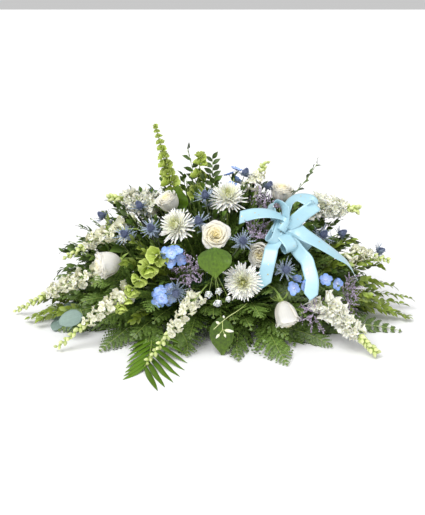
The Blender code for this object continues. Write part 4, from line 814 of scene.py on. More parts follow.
# %% One material for each petal and leaf
def look(name, root, tip, bump=0.3, sheen=0.0, coat=0.0, soft=0.0, **values):
    """A petal or leaf material: the shared effect feeds the shader's colour, roughness and bump."""
    made, tree, shader = new_material(name)
    fill(shader, {"Sheen Weight": sheen, "Coat Weight": coat, "Coat Roughness": 0.35,
                  "Subsurface Weight": soft, "Subsurface Radius": (1.0, 0.9, 0.7), "Subsurface Scale": 0.006})
    effect = tree.nodes.new("ShaderNodeGroup")
    effect.node_tree = blade_look
    fill(effect, {"Root": (*root, 1), "Tip": (*tip, 1)} | {
        key.replace("_", " ").title(): (*value, 1) if isinstance(value, tuple) else value
        for key, value in values.items()})
    relief = put_node(tree, "ShaderNodeBump", {
        "Height": effect.outputs["Height"], "Strength": bump, "Distance": 0.001})
    tree.links.new(effect.outputs["Color"], shader.inputs["Base Color"])
    tree.links.new(effect.outputs["Roughness"], shader.inputs["Roughness"])
    tree.links.new(relief.outputs["Normal"], shader.inputs["Normal"])
    return made


ROSE = look("rose petal", (0.91, 0.855, 0.70), (0.95, 0.92, 0.82), heart=(1.0, 0.86, 0.42), heart_share=0.95,
            variety=0.0, blotches=0.03, slant=9.0, vein_strength=0.03, roughness=0.55, sheen=0.2, soft=0.5)
MUM = look("chrysanthemum petal", (0.95, 0.95, 0.86), (0.98, 0.98, 0.96), heart=(0.80, 0.83, 0.26),
           heart_share=0.95, variety=0.0, blotches=0.03, slant=3.0, vein_strength=0.03, roughness=0.55,
           soft=0.3)
WHITE = look("snapdragon petal", (0.82, 0.83, 0.52), (0.96, 0.94, 0.82), variety=0.06, blotches=0.04,
             slant=6.0, vein_strength=0.03, roughness=0.6, soft=0.4)
STOCK = look("stock petal", (0.85, 0.86, 0.64), (0.96, 0.955, 0.88), variety=0.06, blotches=0.04,
             slant=6.0, vein_strength=0.03, roughness=0.6, soft=0.4)
GREEN_BUD = look("green bud", (0.42, 0.52, 0.12), (0.76, 0.80, 0.42), variety=0.3, slant=2.0, roughness=0.5)
STALK = look("young stem", (0.18, 0.28, 0.06), (0.32, 0.42, 0.09), variety=0.1, slant=3.0, vein_strength=0.1,
             roughness=0.45)
BELL = look("bell cup", (0.33, 0.42, 0.06), (0.50, 0.60, 0.15), variety=0.35, veins=0.0, slant=16.0,
            vein_strength=0.20, roughness=0.45)
BLUE = look("delphinium petal", (0.52, 0.62, 0.92), (0.19, 0.36, 0.80), variety=0.5, slant=8.0,
            vein_strength=0.15, roughness=0.5)
PALE_BLUE = look("delphinium bee", (0.85, 0.88, 0.92), (0.62, 0.68, 0.90), variety=0.2, roughness=0.6)
CONE = look("thistle cone", (0.06, 0.08, 0.16), (0.20, 0.24, 0.38), variety=0.5, roughness=0.7)
BRACT = look("thistle bract", (0.14, 0.19, 0.27), (0.34, 0.41, 0.50), variety=0.5, veins=6.0, slant=5.0,
             vein_strength=0.3, roughness=0.55)
LILAC = look("sea lavender floret", (0.46, 0.38, 0.52), (0.68, 0.58, 0.74), variety=0.7, roughness=0.8)
TWIG = look("sea lavender twig", (0.16, 0.22, 0.11), (0.28, 0.30, 0.22), variety=0.3, roughness=0.7)
FERN = look("fern pinnule", (0.064, 0.116, 0.020), (0.150, 0.240, 0.042), variety=1.2, blotches=0.3,
            veins=4.0, slant=3.0, vein_strength=0.25, roughness=0.42, coat=0.15)
PALM = look("palm leaflet", (0.070, 0.150, 0.006), (0.110, 0.210, 0.010), variety=0.5, slant=14.0,
            vein_strength=0.25, roughness=0.45, coat=0.08)
RUSCUS = look("ruscus leaf", (0.120, 0.180, 0.016), (0.230, 0.300, 0.035), variety=0.9, blotches=0.25,
              slant=8.0, vein_strength=0.2, roughness=0.42, coat=0.15)
EUCALYPTUS = look("eucalyptus leaf", (0.17, 0.25, 0.22), (0.22, 0.31, 0.27), variety=0.3, blotches=0.15,
                  veins=7.0, slant=9.0, vein_strength=0.12, roughness=0.6, sheen=0.2)
SALAL = look("salal leaf", (0.056, 0.120, 0.002), (0.092, 0.168, 0.003), variety=0.5, blotches=0.5, veins=4.0,
             slant=9.0, vein_strength=0.14, roughness=0.46, coat=0.06)
LEAF = look("dark leaf", (0.044, 0.090, 0.013), (0.095, 0.160, 0.022), variety=1.2, blotches=0.3, veins=6.0,
            slant=8.0, vein_strength=0.2, roughness=0.42, coat=0.15)
print(len(bpy.data.materials), "materials so far")

# %% [markdown]
# A rose is a spiral of petals. Each petal is a piece of a cup that goes up from the base and curls out at
# its rim. From the heart outwards the petals are wider apart, lower and curl more, and an open rose is only
# further along than a bud.

# %% Roses
# How much wider and taller than the usual bloom some of them are.
FULLER = {"left": (1.15, 1.36), "lower_right": (1.02, 1.36), "center": (0.95, 0.95),
          "upper_left": (0.98, 0.98)}


def rose_petals(centre, facing, opened, wide, tall, count=30, rows=10, columns=11):
    """A rose's petals as cups round its axis. The turn grows by the golden angle, the radius swells quickly
    and then stays, and the last part of the way up curls outwards by a square."""
    facing = unit(facing)
    height, bloom = rose_height(opened) * tall, ROSE_RADIUS * wide
    s = np.linspace(0, 1, count)[:, None, None]
    v, u = np.linspace(0, 1, rows)[None, :, None], np.linspace(-1, 1, columns)[None, None, :]
    top_radius = bloom * (0.07 + (0.80 + 0.18 * opened) * s ** (1.05 - 0.25 * opened))
    top_height = height * (1.0 - (0.05 + 0.22 * opened) * s ** 1.6)
    broad = np.interp(v, [0, 0.4, 0.8, 0.93, 1], [0.55, 1, 0.95, 0.80, 0.55])
    turn = np.arange(count)[:, None, None] * TURN + (1.9 - 0.95 * s) * broad * u
    curl = np.clip((v - 0.74) / 0.26, 0, 1) ** 2
    wavy = 1 + 0.35 * np.sin(3 * u + 5.1 * s * count)
    radius = (0.15 * bloom * s + (top_radius - 0.15 * bloom * s) * (1 - (1 - v) ** (3.8 - 1.5 * opened))
              + bloom * 0.045 * u * v + curl * bloom * (0.04 + (0.08 + 0.16 * opened) * s) * wavy)
    drop = 0.07 * u ** 2 * v ** 2 + curl * (0.03 + 0.10 * s) * (1 - 0.5 * wavy)
    rise = top_height * v ** 1.1 - height * drop
    side, up = basis(facing)
    foot = centre - facing * rose_height(opened) / 2
    return (foot + rise[..., None] * facing + (radius * np.cos(turn))[..., None] * side
            + (radius * np.sin(turn))[..., None] * up)


for name, (centre, facing, opened) in ROSES.items():
    wide, tall = FULLER.get(name, (1.0, 1.0))
    petals = rose_petals(np.array(centre), facing, opened, wide, tall)
    bloom = Piece()
    bloom.add(petals, tone=np.linspace(1, 0, len(petals)) ** (1.2 if opened > 0.6 else 3.0))
    height, facing = rose_height(opened), unit(facing)
    heart = buds(np.array([centre]) - facing * height / 2, facing, basis(facing)[0], height * tall * 0.95,
                 0.0075, 9, 10, 0.9)
    bloom.add(heart, tone=1.0, closed=True)
    bloom.finish("rose_petals_" + name, [ROSE], "cream", ["rose_" + name], FIRM)


# %% [markdown]
# Under each rose the green stem swells to the calyx, and five pointed sepals bend back. The stems of the
# chrysanthemums are made the same way, without the sepals.

# %% Stems of roses and chrysanthemums
def stem_of(line, facing, rises, radii):
    """A round stem along a smooth line. Its end swells by the radii, at the rises along the bloom's axis."""
    stem = Piece()
    stem.add(tubes(smooth(line[:-1], 24), STEM_RADIUS, 8), closed=True)
    neck = np.vstack([line[-2], line[-1] + np.outer(rises, facing)])
    stem.add(tubes(neck, np.array([STEM_RADIUS, *radii]), 10), closed=True)
    return stem


for name, (_, facing, _) in ROSES.items():
    line, facing = ROUTES["rose_" + name][0]["line"], unit(facing)
    stem = stem_of(line, facing, (-0.016, -0.009, -0.004, 0.001), (0.0028, 0.0044, 0.0066, 0.0085))
    ring = ring_of(5, facing)
    stem.add(blades(line[-1] - facing * 0.004 + ring * 0.006, ring - facing * 0.2, -facing, 0.030, 0.009,
                    (0.8, 1, 0.7, 0.35, 0.06), 8, 5, bend=0.9, cup=-0.5))
    stem.finish("rose_stalk_" + name, [STALK], "stem", ["rose_stem_" + name])
for name, (_, facing) in MUMS.items():
    line, facing = ROUTES["mum_" + name][0]["line"], unit(facing)
    stem = stem_of(line, facing, (-0.010, -0.005, 0.002, 0.006), (0.0030, 0.0065, 0.0100, 0.0095))
    stem.finish("mum_stalk_" + name, [STALK], "stem", ["mum_stem_" + name])


# %% [markdown]
# A spider chrysanthemum has nearly two hundred narrow rolled petals. The outer ones lie flat or hang and
# turn up at their tips, the inner ones stand and curl in over a greenish heart. A loop could turn each petal
# by itself, but one array of blades does them all at once, and its numbers run from the heart to the rim.

# %% Spider chrysanthemums
def mum_petals(centre, facing, count=180):
    """Petals by the golden angle. Their lift falls from upright at the heart to below level at the rim, and
    each curls towards the axis."""
    rng = np.random.default_rng(int(abs(centre[0]) * 1e5))
    s = (np.arange(count) + 0.5) / count
    lift = np.radians(86 - 104 * s ** 0.75 + rng.normal(0, 6, count))[:, None]
    around = ring_of(count, facing, 0.4)
    ways = np.cos(lift) * around + np.sin(lift) * facing
    faces = np.cos(lift) * facing - np.sin(lift) * around
    roots = centre - facing * 0.010 + around * 0.009 * np.sqrt(s)[:, None]
    roots = roots + facing * (0.008 * (1 - s))[:, None]
    lengths = MUM_RADIUS * (0.30 + 0.72 * s ** 0.55) * rng.uniform(0.84, 1.08, count)
    return blades(roots, ways, faces, lengths, 0.0054, (0.5, 0.62, 0.75, 0.95, 1.0, 0.9, 0.45), 8, 4,
                  bend=rng.uniform(0.2, 1.1, count), cup=0.8), 1 - s


for name, (centre, facing) in MUMS.items():
    bloom = Piece()
    petals, hearts = mum_petals(np.array(centre), unit(facing))
    bloom.add(petals, tone=hearts ** 3.6)
    bloom.finish("mum_petals_" + name, [MUM], "white", ["mum_" + name])


# %% [markdown]
# Snapdragons and stocks are spikes: white florets low on the stem, yellow-green buds towards the tip. A
# snapdragon's floret is a tube with ruffled upper and lower lips round a raised middle, and a stock's is a
# double ruffled cup. The florets could be placed by hand, but the golden angle spreads them as evenly as a
# growing stem does.

# %% Flower spikes
def spike(name, start, tip):
    """Florets and buds round the last stretch of a stem, turned by the golden angle and smaller towards the
    tip."""
    piece, line = Piece(), smooth(ROUTES[name][0]["line"], 60)
    stock, total = name.startswith("stock"), reach_of(line)[-1]
    zone = float(np.linalg.norm(np.array(tip) - start))
    taper(piece, line, 0.0028, 0.0011, 7)
    count = int(zone / (0.0048 if stock else 0.0086)) + 8
    share = np.linspace(0, 1, count) ** 0.9
    middle = at_lengths(line, total - zone * (1 - share) * 1.08)
    ahead = unit(np.array(tip) - start)
    around = ring_of(count, ahead, len(name))
    rng = np.random.default_rng(len(name) * 7 + int(zone * 1e4))
    size = ((1.42 if stock else 1.20) - 0.80 * share) * rng.uniform(0.85, 1.15, count)
    droop = np.array([0, 0, -0.12]) + rng.normal(0, 0.16, (count, 3))
    opens = share < (0.70 if stock else 0.58)
    lean = unit(around + ahead * np.where(opens, 0.35 if stock else 0.60, 1.0)[:, None] + droop)
    faces = np.broadcast_to(np.array([0, 0, 1.0]), lean.shape) + ahead * 0.4
    o, b = opens, ~opens
    if stock:
        roots = middle[o] + lean[o] * rng.uniform(0.004, 0.020, (o.sum(), 1))
        for turn, scale in ((0, 1.0), (1.3, 0.72)):
            piece.add(cups(roots, lean[o] + around[o] * 0.05, faces[o] + turn * np.cross(lean[o], faces[o]),
                           0.014 * size[o], 0.0215 * size[o] * scale, 4, 0.62, 0.75, 0.10, 1.6, 0.26, 6, 16),
                      1, rng.uniform(0.2, 1, o.sum()))
    else:
        throat = middle[o] + lean[o] * 0.019 * size[o][:, None]
        necks = np.stack([middle[o], middle[o] * 0.5 + throat * 0.5, throat], axis=1)
        piece.add(tubes(necks, 0.0042 * size[o][:, None] * np.array([0.6, 1.0, 1.1]), 7), 1, 0.0, closed=True)
        for rise, lobes, wide in ((0.75, (-0.45, 0.45), 0.015), (-0.55, (-0.85, 0.0, 0.85), 0.013)):
            for swing in lobes:
                frame = frames_of(lean[o], faces[o])
                ways = unit(lean[o] * 0.55 + frame[:, 2] * rise + frame[:, 0] * swing)
                piece.add(blades(throat, ways, lean[o] * 0.8 - frame[:, 2] * rise, 0.0165 * size[o],
                                 wide * 1.1 * size[o], (0.5, 0.9, 1.1, 0.95, 0.45), 6, 5, bend=-0.9, cup=0.2,
                                 ripple=0.35), 1, rng.uniform(0.2, 0.9, o.sum()))
        mouth = buds(throat - lean[o] * 0.002, lean[o], faces[o], 0.009 * size[o], 0.0042 * size[o])
        piece.add(mouth, 1, 0.0, closed=True)
    roots = middle[b] + lean[b] * 0.001
    swell = size[b] + 0.30 * share[b]
    piece.add(buds(roots, lean[b], faces[b], 0.020 * swell, 0.0068 * swell), 2, rng.uniform(0, 1, b.sum()),
              closed=True)
    both = np.vstack([faces, -faces])
    sepals = blades(twice(middle + lean * 0.002), twice(lean) + both * 0.25, both, 0.009 * np.tile(size, 2),
                    0.006, (0.7, 1, 0.8, 0.1), 4, 3, cup=0.4)
    piece.add(sepals, 0, rng.uniform(0, 1, 2 * count))
    piece.finish(name + "_flowers", [STALK, STOCK if stock else WHITE, GREEN_BUD], "white", [name])


for name, (start, tip) in SPIKES.items():
    spike(name, start, tip)


# %% [markdown]
# Bells of Ireland carry whorls of shell-shaped green cups that shrink up the stem, each with a tiny pale
# flower inside. Each cup is one round surface with five soft lobes.

# %% Bells of Ireland
def bells(name, start, tip):
    """Whorls of cups at even steps; each cup leans out, and the upper ones point more and more along the
    stem."""
    piece, line = Piece(), smooth(ROUTES[name][0]["line"], 60)
    total, zone = reach_of(line)[-1], float(np.linalg.norm(np.array(tip) - start))
    taper(piece, line, 0.0034, 0.0012, 8)
    broad = name != "bells_tall"
    whorls = int(zone / (0.0240 if broad else 0.0165))
    share = np.repeat(1 - (1 - np.linspace(0, 1, whorls)) ** 1.5, 5)
    middle = at_lengths(line, total - zone * 1.04 * (1 - share))
    ahead = unit(np.array(tip) - start)
    side, up = basis(ahead)
    turns = np.tile(turns_of(5), whorls) + np.repeat(np.arange(whorls), 5) * 0.63
    around = np.outer(np.cos(turns), side) + np.outer(np.sin(turns), up)
    rng = np.random.default_rng(whorls)
    size = (1.0 - (0.45 if broad else 0.76) * share) * rng.uniform(0.78, 1.18, len(share))
    lean = unit(around + ahead * (0.25 + 0.9 * share)[:, None] + rng.normal(0, 0.22, around.shape))
    roots = middle + lean * 0.003
    wide = 0.0225 if broad else 0.0195
    piece.add(cups(roots, lean, ahead, 0.021 * size, wide * size, 5, 0.16, 0.55, 0.12, 1.3, 0.09, 6, 18), 1,
              rng.uniform(0, 1, len(share)))
    piece.add(buds(roots, lean, ahead, 0.010 * size, 0.0030 * size), 2, 0.7, closed=True)
    piece.finish(name + "_cups", [STALK, BELL, WHITE], "bells", [name], THIN)


for name, (start, tip) in BELLS.items():
    bells(name, start, tip)


# %% [markdown]
# Delphinium has open blue flowers of five round petals with a pale tuft, called the bee, in the middle. They
# gather at the end of each branch with a few closed buds.

# %% Delphinium
def branches_of(piece, name, radius):
    """All the stems of a plant, and for each the place and heading of its end."""
    ends = []
    for way in ROUTES[name]:
        line = smooth(way["line"], 30)
        taper(piece, line, radius, radius * 0.6, 7)
        ends.append((line[-1], unit(line[-1] - line[-3])))
    return ends


def delphinium(name, blooms):
    """Blooms on short stalks round the end of each branch, by the golden angle, the higher ones more along
    it."""
    piece = Piece()
    for number, (end, ahead) in enumerate(branches_of(piece, name, STEM_RADIUS)):
        rng = np.random.default_rng(number + len(name))
        share = np.linspace(0, 1, blooms)
        around = ring_of(blooms, ahead, number)
        lean = unit(around * (1.2 - 0.8 * share)[:, None] + ahead * 0.3 + outward(end) * 1.1)
        roots = end - ahead * (0.040 * (1 - share))[:, None]
        hearts = roots + unit(around * (1.3 - share)[:, None] + outward(end)) * 0.024
        stalks = np.stack([roots, (roots + hearts) / 2 + ahead * 0.001, hearts], axis=1)
        piece.add(tubes(stalks, 0.0008, 4), 0, closed=True)
        side = frames_of(lean, ahead)
        for k in range(5):
            turn = 2 * math.pi * k / 5 + number
            out = side[:, 0] * math.cos(turn) + side[:, 2] * math.sin(turn)
            reach = 0.0195 * rng.uniform(0.8, 1.12, blooms)
            petals = blades(hearts, out + lean * 0.25, lean - out * 0.25, reach, 0.0185,
                            (0.25, 0.66, 0.95, 1.0, 0.85, 0.45), 8, 5, bend=0.1, cup=0.15, ripple=0.32)
            piece.add(petals, 1, rng.uniform(0, 1, blooms))
        piece.add(cups(hearts, lean, ahead, 0.005, 0.0042, 4, 0.5, 0.7, 0.2, 1.2, 0.2, 4, 12), 2, 0.6)
    piece.finish(name + "_petals", [STALK, BLUE, PALE_BLUE], "blue", [name])


for name, blooms in (("delphinium_left", 6), ("delphinium_right", 3), ("delphinium_back", 4)):
    delphinium(name, blooms)


# %% [markdown]
# Sea holly is a thistle: a blue-grey egg-shaped cone studded with points, over a ruff of stiff bracts whose
# edges are cut into spines. A saw-toothed outline gives the bracts their spines.

# %% Sea holly
# Half the width of a bract with spines, from its root to its tip.
SAW = (0.4, 0.30, 1.0, 0.26, 1.35, 0.24, 1.25, 0.20, 0.9, 0.14, 0.5, 0.05)


def thistle(name):
    """Cone points on a golden-angle spiral over an egg, and bracts round its foot."""
    piece = Piece()
    for number, (end, ahead) in enumerate(branches_of(piece, name, 0.0021)):
        rng = np.random.default_rng(number * 5 + len(name))
        count, height, radius = 140, 0.023, 0.0090
        share = (np.arange(count) + 0.5) / count
        swell = np.sin(math.pi * (0.12 + 0.88 * share) ** 0.75) ** 0.7
        around = ring_of(count, ahead)
        roots = end + ahead * (height * share)[:, None] + around * (radius * 0.86 * swell)[:, None]
        lean = unit(around + ahead * (share * 2.4 - 0.5)[:, None])
        egg = buds(end[None] - ahead * 0.001, ahead, basis(ahead)[0], height * 1.04, radius, 8, 10, 0.75)
        piece.add(egg, 1, 0.2, closed=True)
        spines = buds(roots, lean, ahead + 0.01, 0.0042, 0.0013, 3, 4, 0.55)
        piece.add(spines, 1, rng.uniform(0, 1, count), closed=True)
        ruff = 24
        out = ring_of(ruff, ahead, number)
        ways = out + ahead * rng.uniform(-0.1, 0.6, (ruff, 1))
        bracts = blades(end[None] + out * 0.003 + ahead * 0.001, ways, ahead - out * 0.3,
                        rng.uniform(0.022, 0.040, ruff), 0.0046, SAW, 12, 3,
                        bend=rng.uniform(0.0, 0.5, ruff), cup=0.5)
        piece.add(bracts, 2, rng.uniform(0.2, 1, ruff))
        leaf = ring_of(4, ahead, 1.0)
        leaves = blades(end[None] - ahead * 0.028 + leaf * 0.001, leaf + ahead * 0.5, ahead,
                        0.026, 0.010, SAW, 12, 3, cup=0.4)
        piece.add(leaves, 2, rng.uniform(0, 1, 4))
    piece.finish(name + "_heads", [TWIG, CONE, BRACT], "thistle", [name])


for name in THISTLES:
    thistle(name)


# %% [markdown]
# Sea lavender is a cloud of hair-thin twigs with rows of tiny lilac florets on one side. Twigs leave a head
# in all directions, and smaller twigs leave those, all worked out as one array of lines.

# %% Sea lavender
def twigs(roots, ways, lengths, falls, steps):
    """Lines that leave their roots along their ways and bend by their falls times the square of the share
    along."""
    t = np.linspace(0, 1, steps)[None, :, None]
    lengths = np.broadcast_to(lengths, len(roots))[:, None, None]
    return roots[:, None] + lengths * (unit(ways)[:, None] * t + falls[:, None] * t ** 2)


def statice(name, many=13, small=6, florets=7):
    """Three orders of twigs: branches off the head, sprigs off each branch, and florets in a row along each
    sprig."""
    piece = Piece()
    for number, (end, ahead) in enumerate(branches_of(piece, name, 0.0020)):
        rng = np.random.default_rng(number * 3 + len(name))
        lean = unit(ring_of(many, ahead, number) + ahead * rng.uniform(0.2, 1.3, (many, 1)))
        roots = end - ahead * rng.uniform(0.004, 0.050, (many, 1))
        main = twigs(roots, lean, rng.uniform(0.035, 0.055, many), rng.normal(0, 0.12, (many, 3)), 8)
        piece.add(tubes(main, 0.0005, 3, ahead), 0, closed=True)
        starts = main[:, 2:8][:, :small].reshape(-1, 3)
        along = unit(np.gradient(main, axis=1))[:, 2:8][:, :small].reshape(-1, 3)
        sprig_way = unit(along + rng.normal(0, 0.75, along.shape))
        sprigs = twigs(starts, sprig_way, rng.uniform(0.012, 0.021, len(starts)),
                       rng.normal(0, 0.2, along.shape), florets)
        piece.add(tubes(sprigs, 0.0003, 3, ahead), 0, closed=True)
        seats = sprigs[:, 1:].reshape(-1, 3)
        lift = unit(outward(seats) + rng.normal(0, 0.5, seats.shape))
        tiny = cups(seats, lift, ahead + 0.01, 0.0034, rng.uniform(0.0014, 0.0024, len(seats)), 2, 0.3, 0.7,
                    0.3, 1.0, 0.2, 3, 5)
        piece.add(tiny, 1, rng.uniform(0, 1, len(seats)))
    piece.finish(name + "_florets", [TWIG, LILAC], "lilac", [name])


for name in STATICES:
    statice(name)


# %% [markdown]
# Leatherleaf fern fills the spray and hangs over the tray. A frond is a rib with side shoots, called pinnae,
# on both sides, longest near the foot. Each pinna is a narrow green web with two rows of small leaflets as
# its edge. A picture of a fern on a flat card would be quicker, but a card has no edge seen from the side.
# So each leaflet is a blade of eight triangles, and the leaflets on one side of all the frond's pinnae are
# one array.

# %% Fern fronds
def frond(piece, line, spread, rng, bare, pairs, leaflets):
    """Pinnae leave the rib on both sides at even steps and droop. Their webs are a third as wide to each
    side as the leaflets are long, and the leaflets are a little longer than the step to the next pinna."""
    total = reach_of(line)[-1]
    share = np.linspace(0, 1, pairs)
    seats = at_lengths(line, total * (bare + (0.985 - bare) * share))
    gap = total * (1 - bare) / pairs
    ahead, side, normal = sides_of(seats, 0.6)
    reach = (spread * (1 - share) ** 0.9 + 0.004) * np.minimum(1, 0.7 + share * 4)
    roots = twice(seats)
    ways = np.vstack([side, -side]) + twice(ahead) * 0.80 + rng.normal(0, 0.14, roots.shape)
    falls = twice(ahead) * 0.22 - twice(normal) * rng.uniform(0.0, 0.4)
    pinnae = twigs(roots, ways, np.tile(reach, 2), falls, leaflets + 1)
    along = unit(np.gradient(pinnae, axis=1))
    up = twice(normal)[:, None]
    out = unit(np.cross(along, up))
    step = np.linspace(0, 1, leaflets + 1)[None]
    length = gap * 1.25 * (1 - 0.72 * step) * np.tile(0.40 + 0.60 * (1 - share), 2)[:, None]
    web = 0.36 * length[:, ::2, None, None] * np.array([-1.0, 0.0, 1.0])[:, None]
    piece.add(pinnae[:, ::2, None] + out[:, ::2, None] * web)
    pinnae, along, out, length = pinnae[:, 1:], along[:, 1:], out[:, 1:], length[:, 1:]
    width = np.broadcast_to(np.tile(reach / leaflets * 1.05, 2)[:, None], length.shape).ravel()
    faces = np.broadcast_to(up, pinnae.shape).reshape(-1, 3) + rng.normal(0, 0.25, (width.size, 3))
    tone = np.clip(rng.normal(0.5, 0.16, width.size) + rng.normal(0, 0.2), 0, 1)
    for way in (1, -1):
        lean = (out * way * 0.9 + along * 0.65).reshape(-1, 3)
        blade = blades(pinnae.reshape(-1, 3), lean, faces, length.ravel(), width, (0.5, 1.0, 0.05), 3, 3,
                       bend=-0.3, cup=0.15)
        piece.add(blade, tone=tone)


def arch(foot, tip, rise, steps=16):
    """A sprig's own curve: up and out of the foam, and down to its tip."""
    lift = unit(outward(tip) + (0, 0, 0.4)) * rise
    return cubic((foot, foot * 0.6 + tip * 0.4 + lift, foot * 0.15 + tip * 0.85 + lift, tip), steps)


def filler_tips(count, low, high, scale):
    """Tips spread over the mound: the turn grows by the golden angle and the height by even steps."""
    share = (np.arange(count) + 0.5) / count
    level = low + (high - low) * share
    turn = np.arange(count) * TURN
    flat = np.sqrt(1 - level ** 2)
    long, deep, tall = SPRIGS_HALF
    return np.stack([long * flat * np.cos(turn), deep * flat * np.sin(turn), tall * level], axis=1) * scale


def ridge_tips(count, shift):
    """Tips along the top of the mound, a little behind its middle: half an ellipse over its length."""
    along = np.linspace(-0.90, 0.90, count) + shift
    deep = 0.045 + 0.040 * np.cos(np.arange(count) * 2.6)
    return np.stack([0.49 * along, deep, 0.40 * np.sqrt(1 - along ** 2)], axis=1)


def collar_tips(count):
    """Tips in a low oval close to the foam's sides, so that leaves cover it."""
    turn = turns_of(count)
    return np.stack([0.29 * np.cos(turn), 0.145 * np.sin(turn), 0.115 + 0.020 * np.cos(5 * turn)], axis=1)


# Greenery behind the highest blooms and the bow, so that no light shows between them.
BEHIND = np.array([(0.095, 0.06, 0.335), (0.125, 0.07, 0.325), (0.155, 0.09, 0.335), (0.07, 0.08, 0.33),
                   (0.13, 0.04, 0.30), (0.26, 0.06, 0.30), (0.30, 0.05, 0.27), (0.24, 0.10, 0.31),
                   (0.10, 0.07, 0.375), (0.135, 0.08, 0.378), (0.165, 0.10, 0.372), (0.12, 0.03, 0.36),
                   (0.07, 0.05, 0.36), (0.15, 0.05, 0.35), (0.255, 0.09, 0.335), (0.185, 0.130, 0.325),
                   (0.200, 0.130, 0.300), (0.165, 0.120, 0.335), (0.215, 0.120, 0.330)])
# The middles of the blooms that greenery keeps clear of: all roses and chrysanthemums, and two thistles.
BLOOMS = np.array([head[0] for head in (*ROSES.values(), *MUMS.values())]
                  + [THISTLES["thistle_left"][0], THISTLES["thistle_right"][2]])


def clear_of_blooms(tips, room=0.056):
    """The tips that are further from the middle of every bloom than the room."""
    return tips[np.linalg.norm(tips[:, None] - BLOOMS, axis=-1).min(axis=1) > room]


def quarter(point):
    """Which of the four ferns a point belongs to."""
    return "fern_" + ("front" if point[1] < 0 else "back") + ("_left" if point[0] < 0 else "_right")


ferns = {name: Piece() for name in FERNS}
rng = np.random.default_rng(11)
for name in FERNS:
    for way in ROUTES[name]:
        line = smooth(way["line"], 24)
        taper(ferns[name], line, 0.0021, 0.0006, 6, 1)
        frond(ferns[name], line, 0.080, rng, 0.34, 13, 7)
skirt = filler_tips(40, 0.02, 0.30, np.array([0.97, 1.06, 1.0]))
crown = filler_tips(64, 0.30, 0.98, 0.95)
front = np.array([(-0.06, -0.26, 0.14), (0.03, -0.27, 0.15), (0.10, -0.27, 0.12), (0.00, -0.25, 0.20),
                  (-0.12, -0.25, 0.16), (0.16, -0.25, 0.17), (0.06, -0.25, 0.08), (-0.02, -0.24, 0.10)])
for tip in clear_of_blooms(np.vstack([skirt, crown, ridge_tips(26, 0.02), front, BEHIND])):
    foot = wanted_hole(tip) * (0.9, 0.9, 0.95)
    line = arch(foot, tip, 0.055 if tip[2] < 0.12 else 0.02)
    piece = ferns[quarter(tip)]
    taper(piece, line, 0.0018, 0.0006, 5, 1)
    frond(piece, line, rng.uniform(0.058, 0.076), rng, 0.30, 10, 6)
for name, piece in ferns.items():
    piece.finish(name + "_fronds", [FERN, STALK], "fern", [name])


# %% [markdown]
# The other greenery is simpler: leaves at even steps on both sides of a stem. Ruscus has many small pointed
# leaves, eucalyptus a few round ones, and the palm long narrow leaflets. One function makes them all, and
# the outline of half a leaf, a short list of widths from root to tip, tells them apart.

# %% Leafy stems
def leafy(piece, line, count, bare, length, width, outline, rng, forward=0.8, spiral=0.5, bend=0.4, cup=0.25,
          ripple=0.05, shrink=0.5, kind=0, rows=7, columns=5, loose=0.25):
    """Leaves along a stem, alternately to both sides, each turned a little round it and shorter towards the
    tip."""
    total = reach_of(line)[-1]
    share = np.linspace(0, 1, count)
    seats = at_lengths(line, total * (bare + (1 - bare) * share))
    ahead, side, normal = sides_of(seats, 0.5)
    turn = np.where(np.arange(count) % 2, 0, math.pi) + rng.normal(0, spiral, count)
    out = side * np.cos(turn)[:, None] + normal * (np.sin(turn) * 0.8 + 0.15)[:, None]
    size = (1 - shrink * share) * rng.uniform(0.85, 1.12, count)
    ways, faces = out + ahead * forward * (1 + share)[:, None], normal + rng.normal(0, loose, out.shape)
    leaves = blades(seats, ways, faces, length * size, width * size, outline, rows, columns, bend=-bend,
                    cup=cup, ripple=ripple)
    piece.add(leaves, kind, rng.uniform(0, 1, count))


POINTED = (0.16, 0.62, 0.95, 1.0, 0.82, 0.45, 0.05)
ROUND = (0.20, 0.80, 1.0, 1.0, 0.92, 0.70, 0.25)
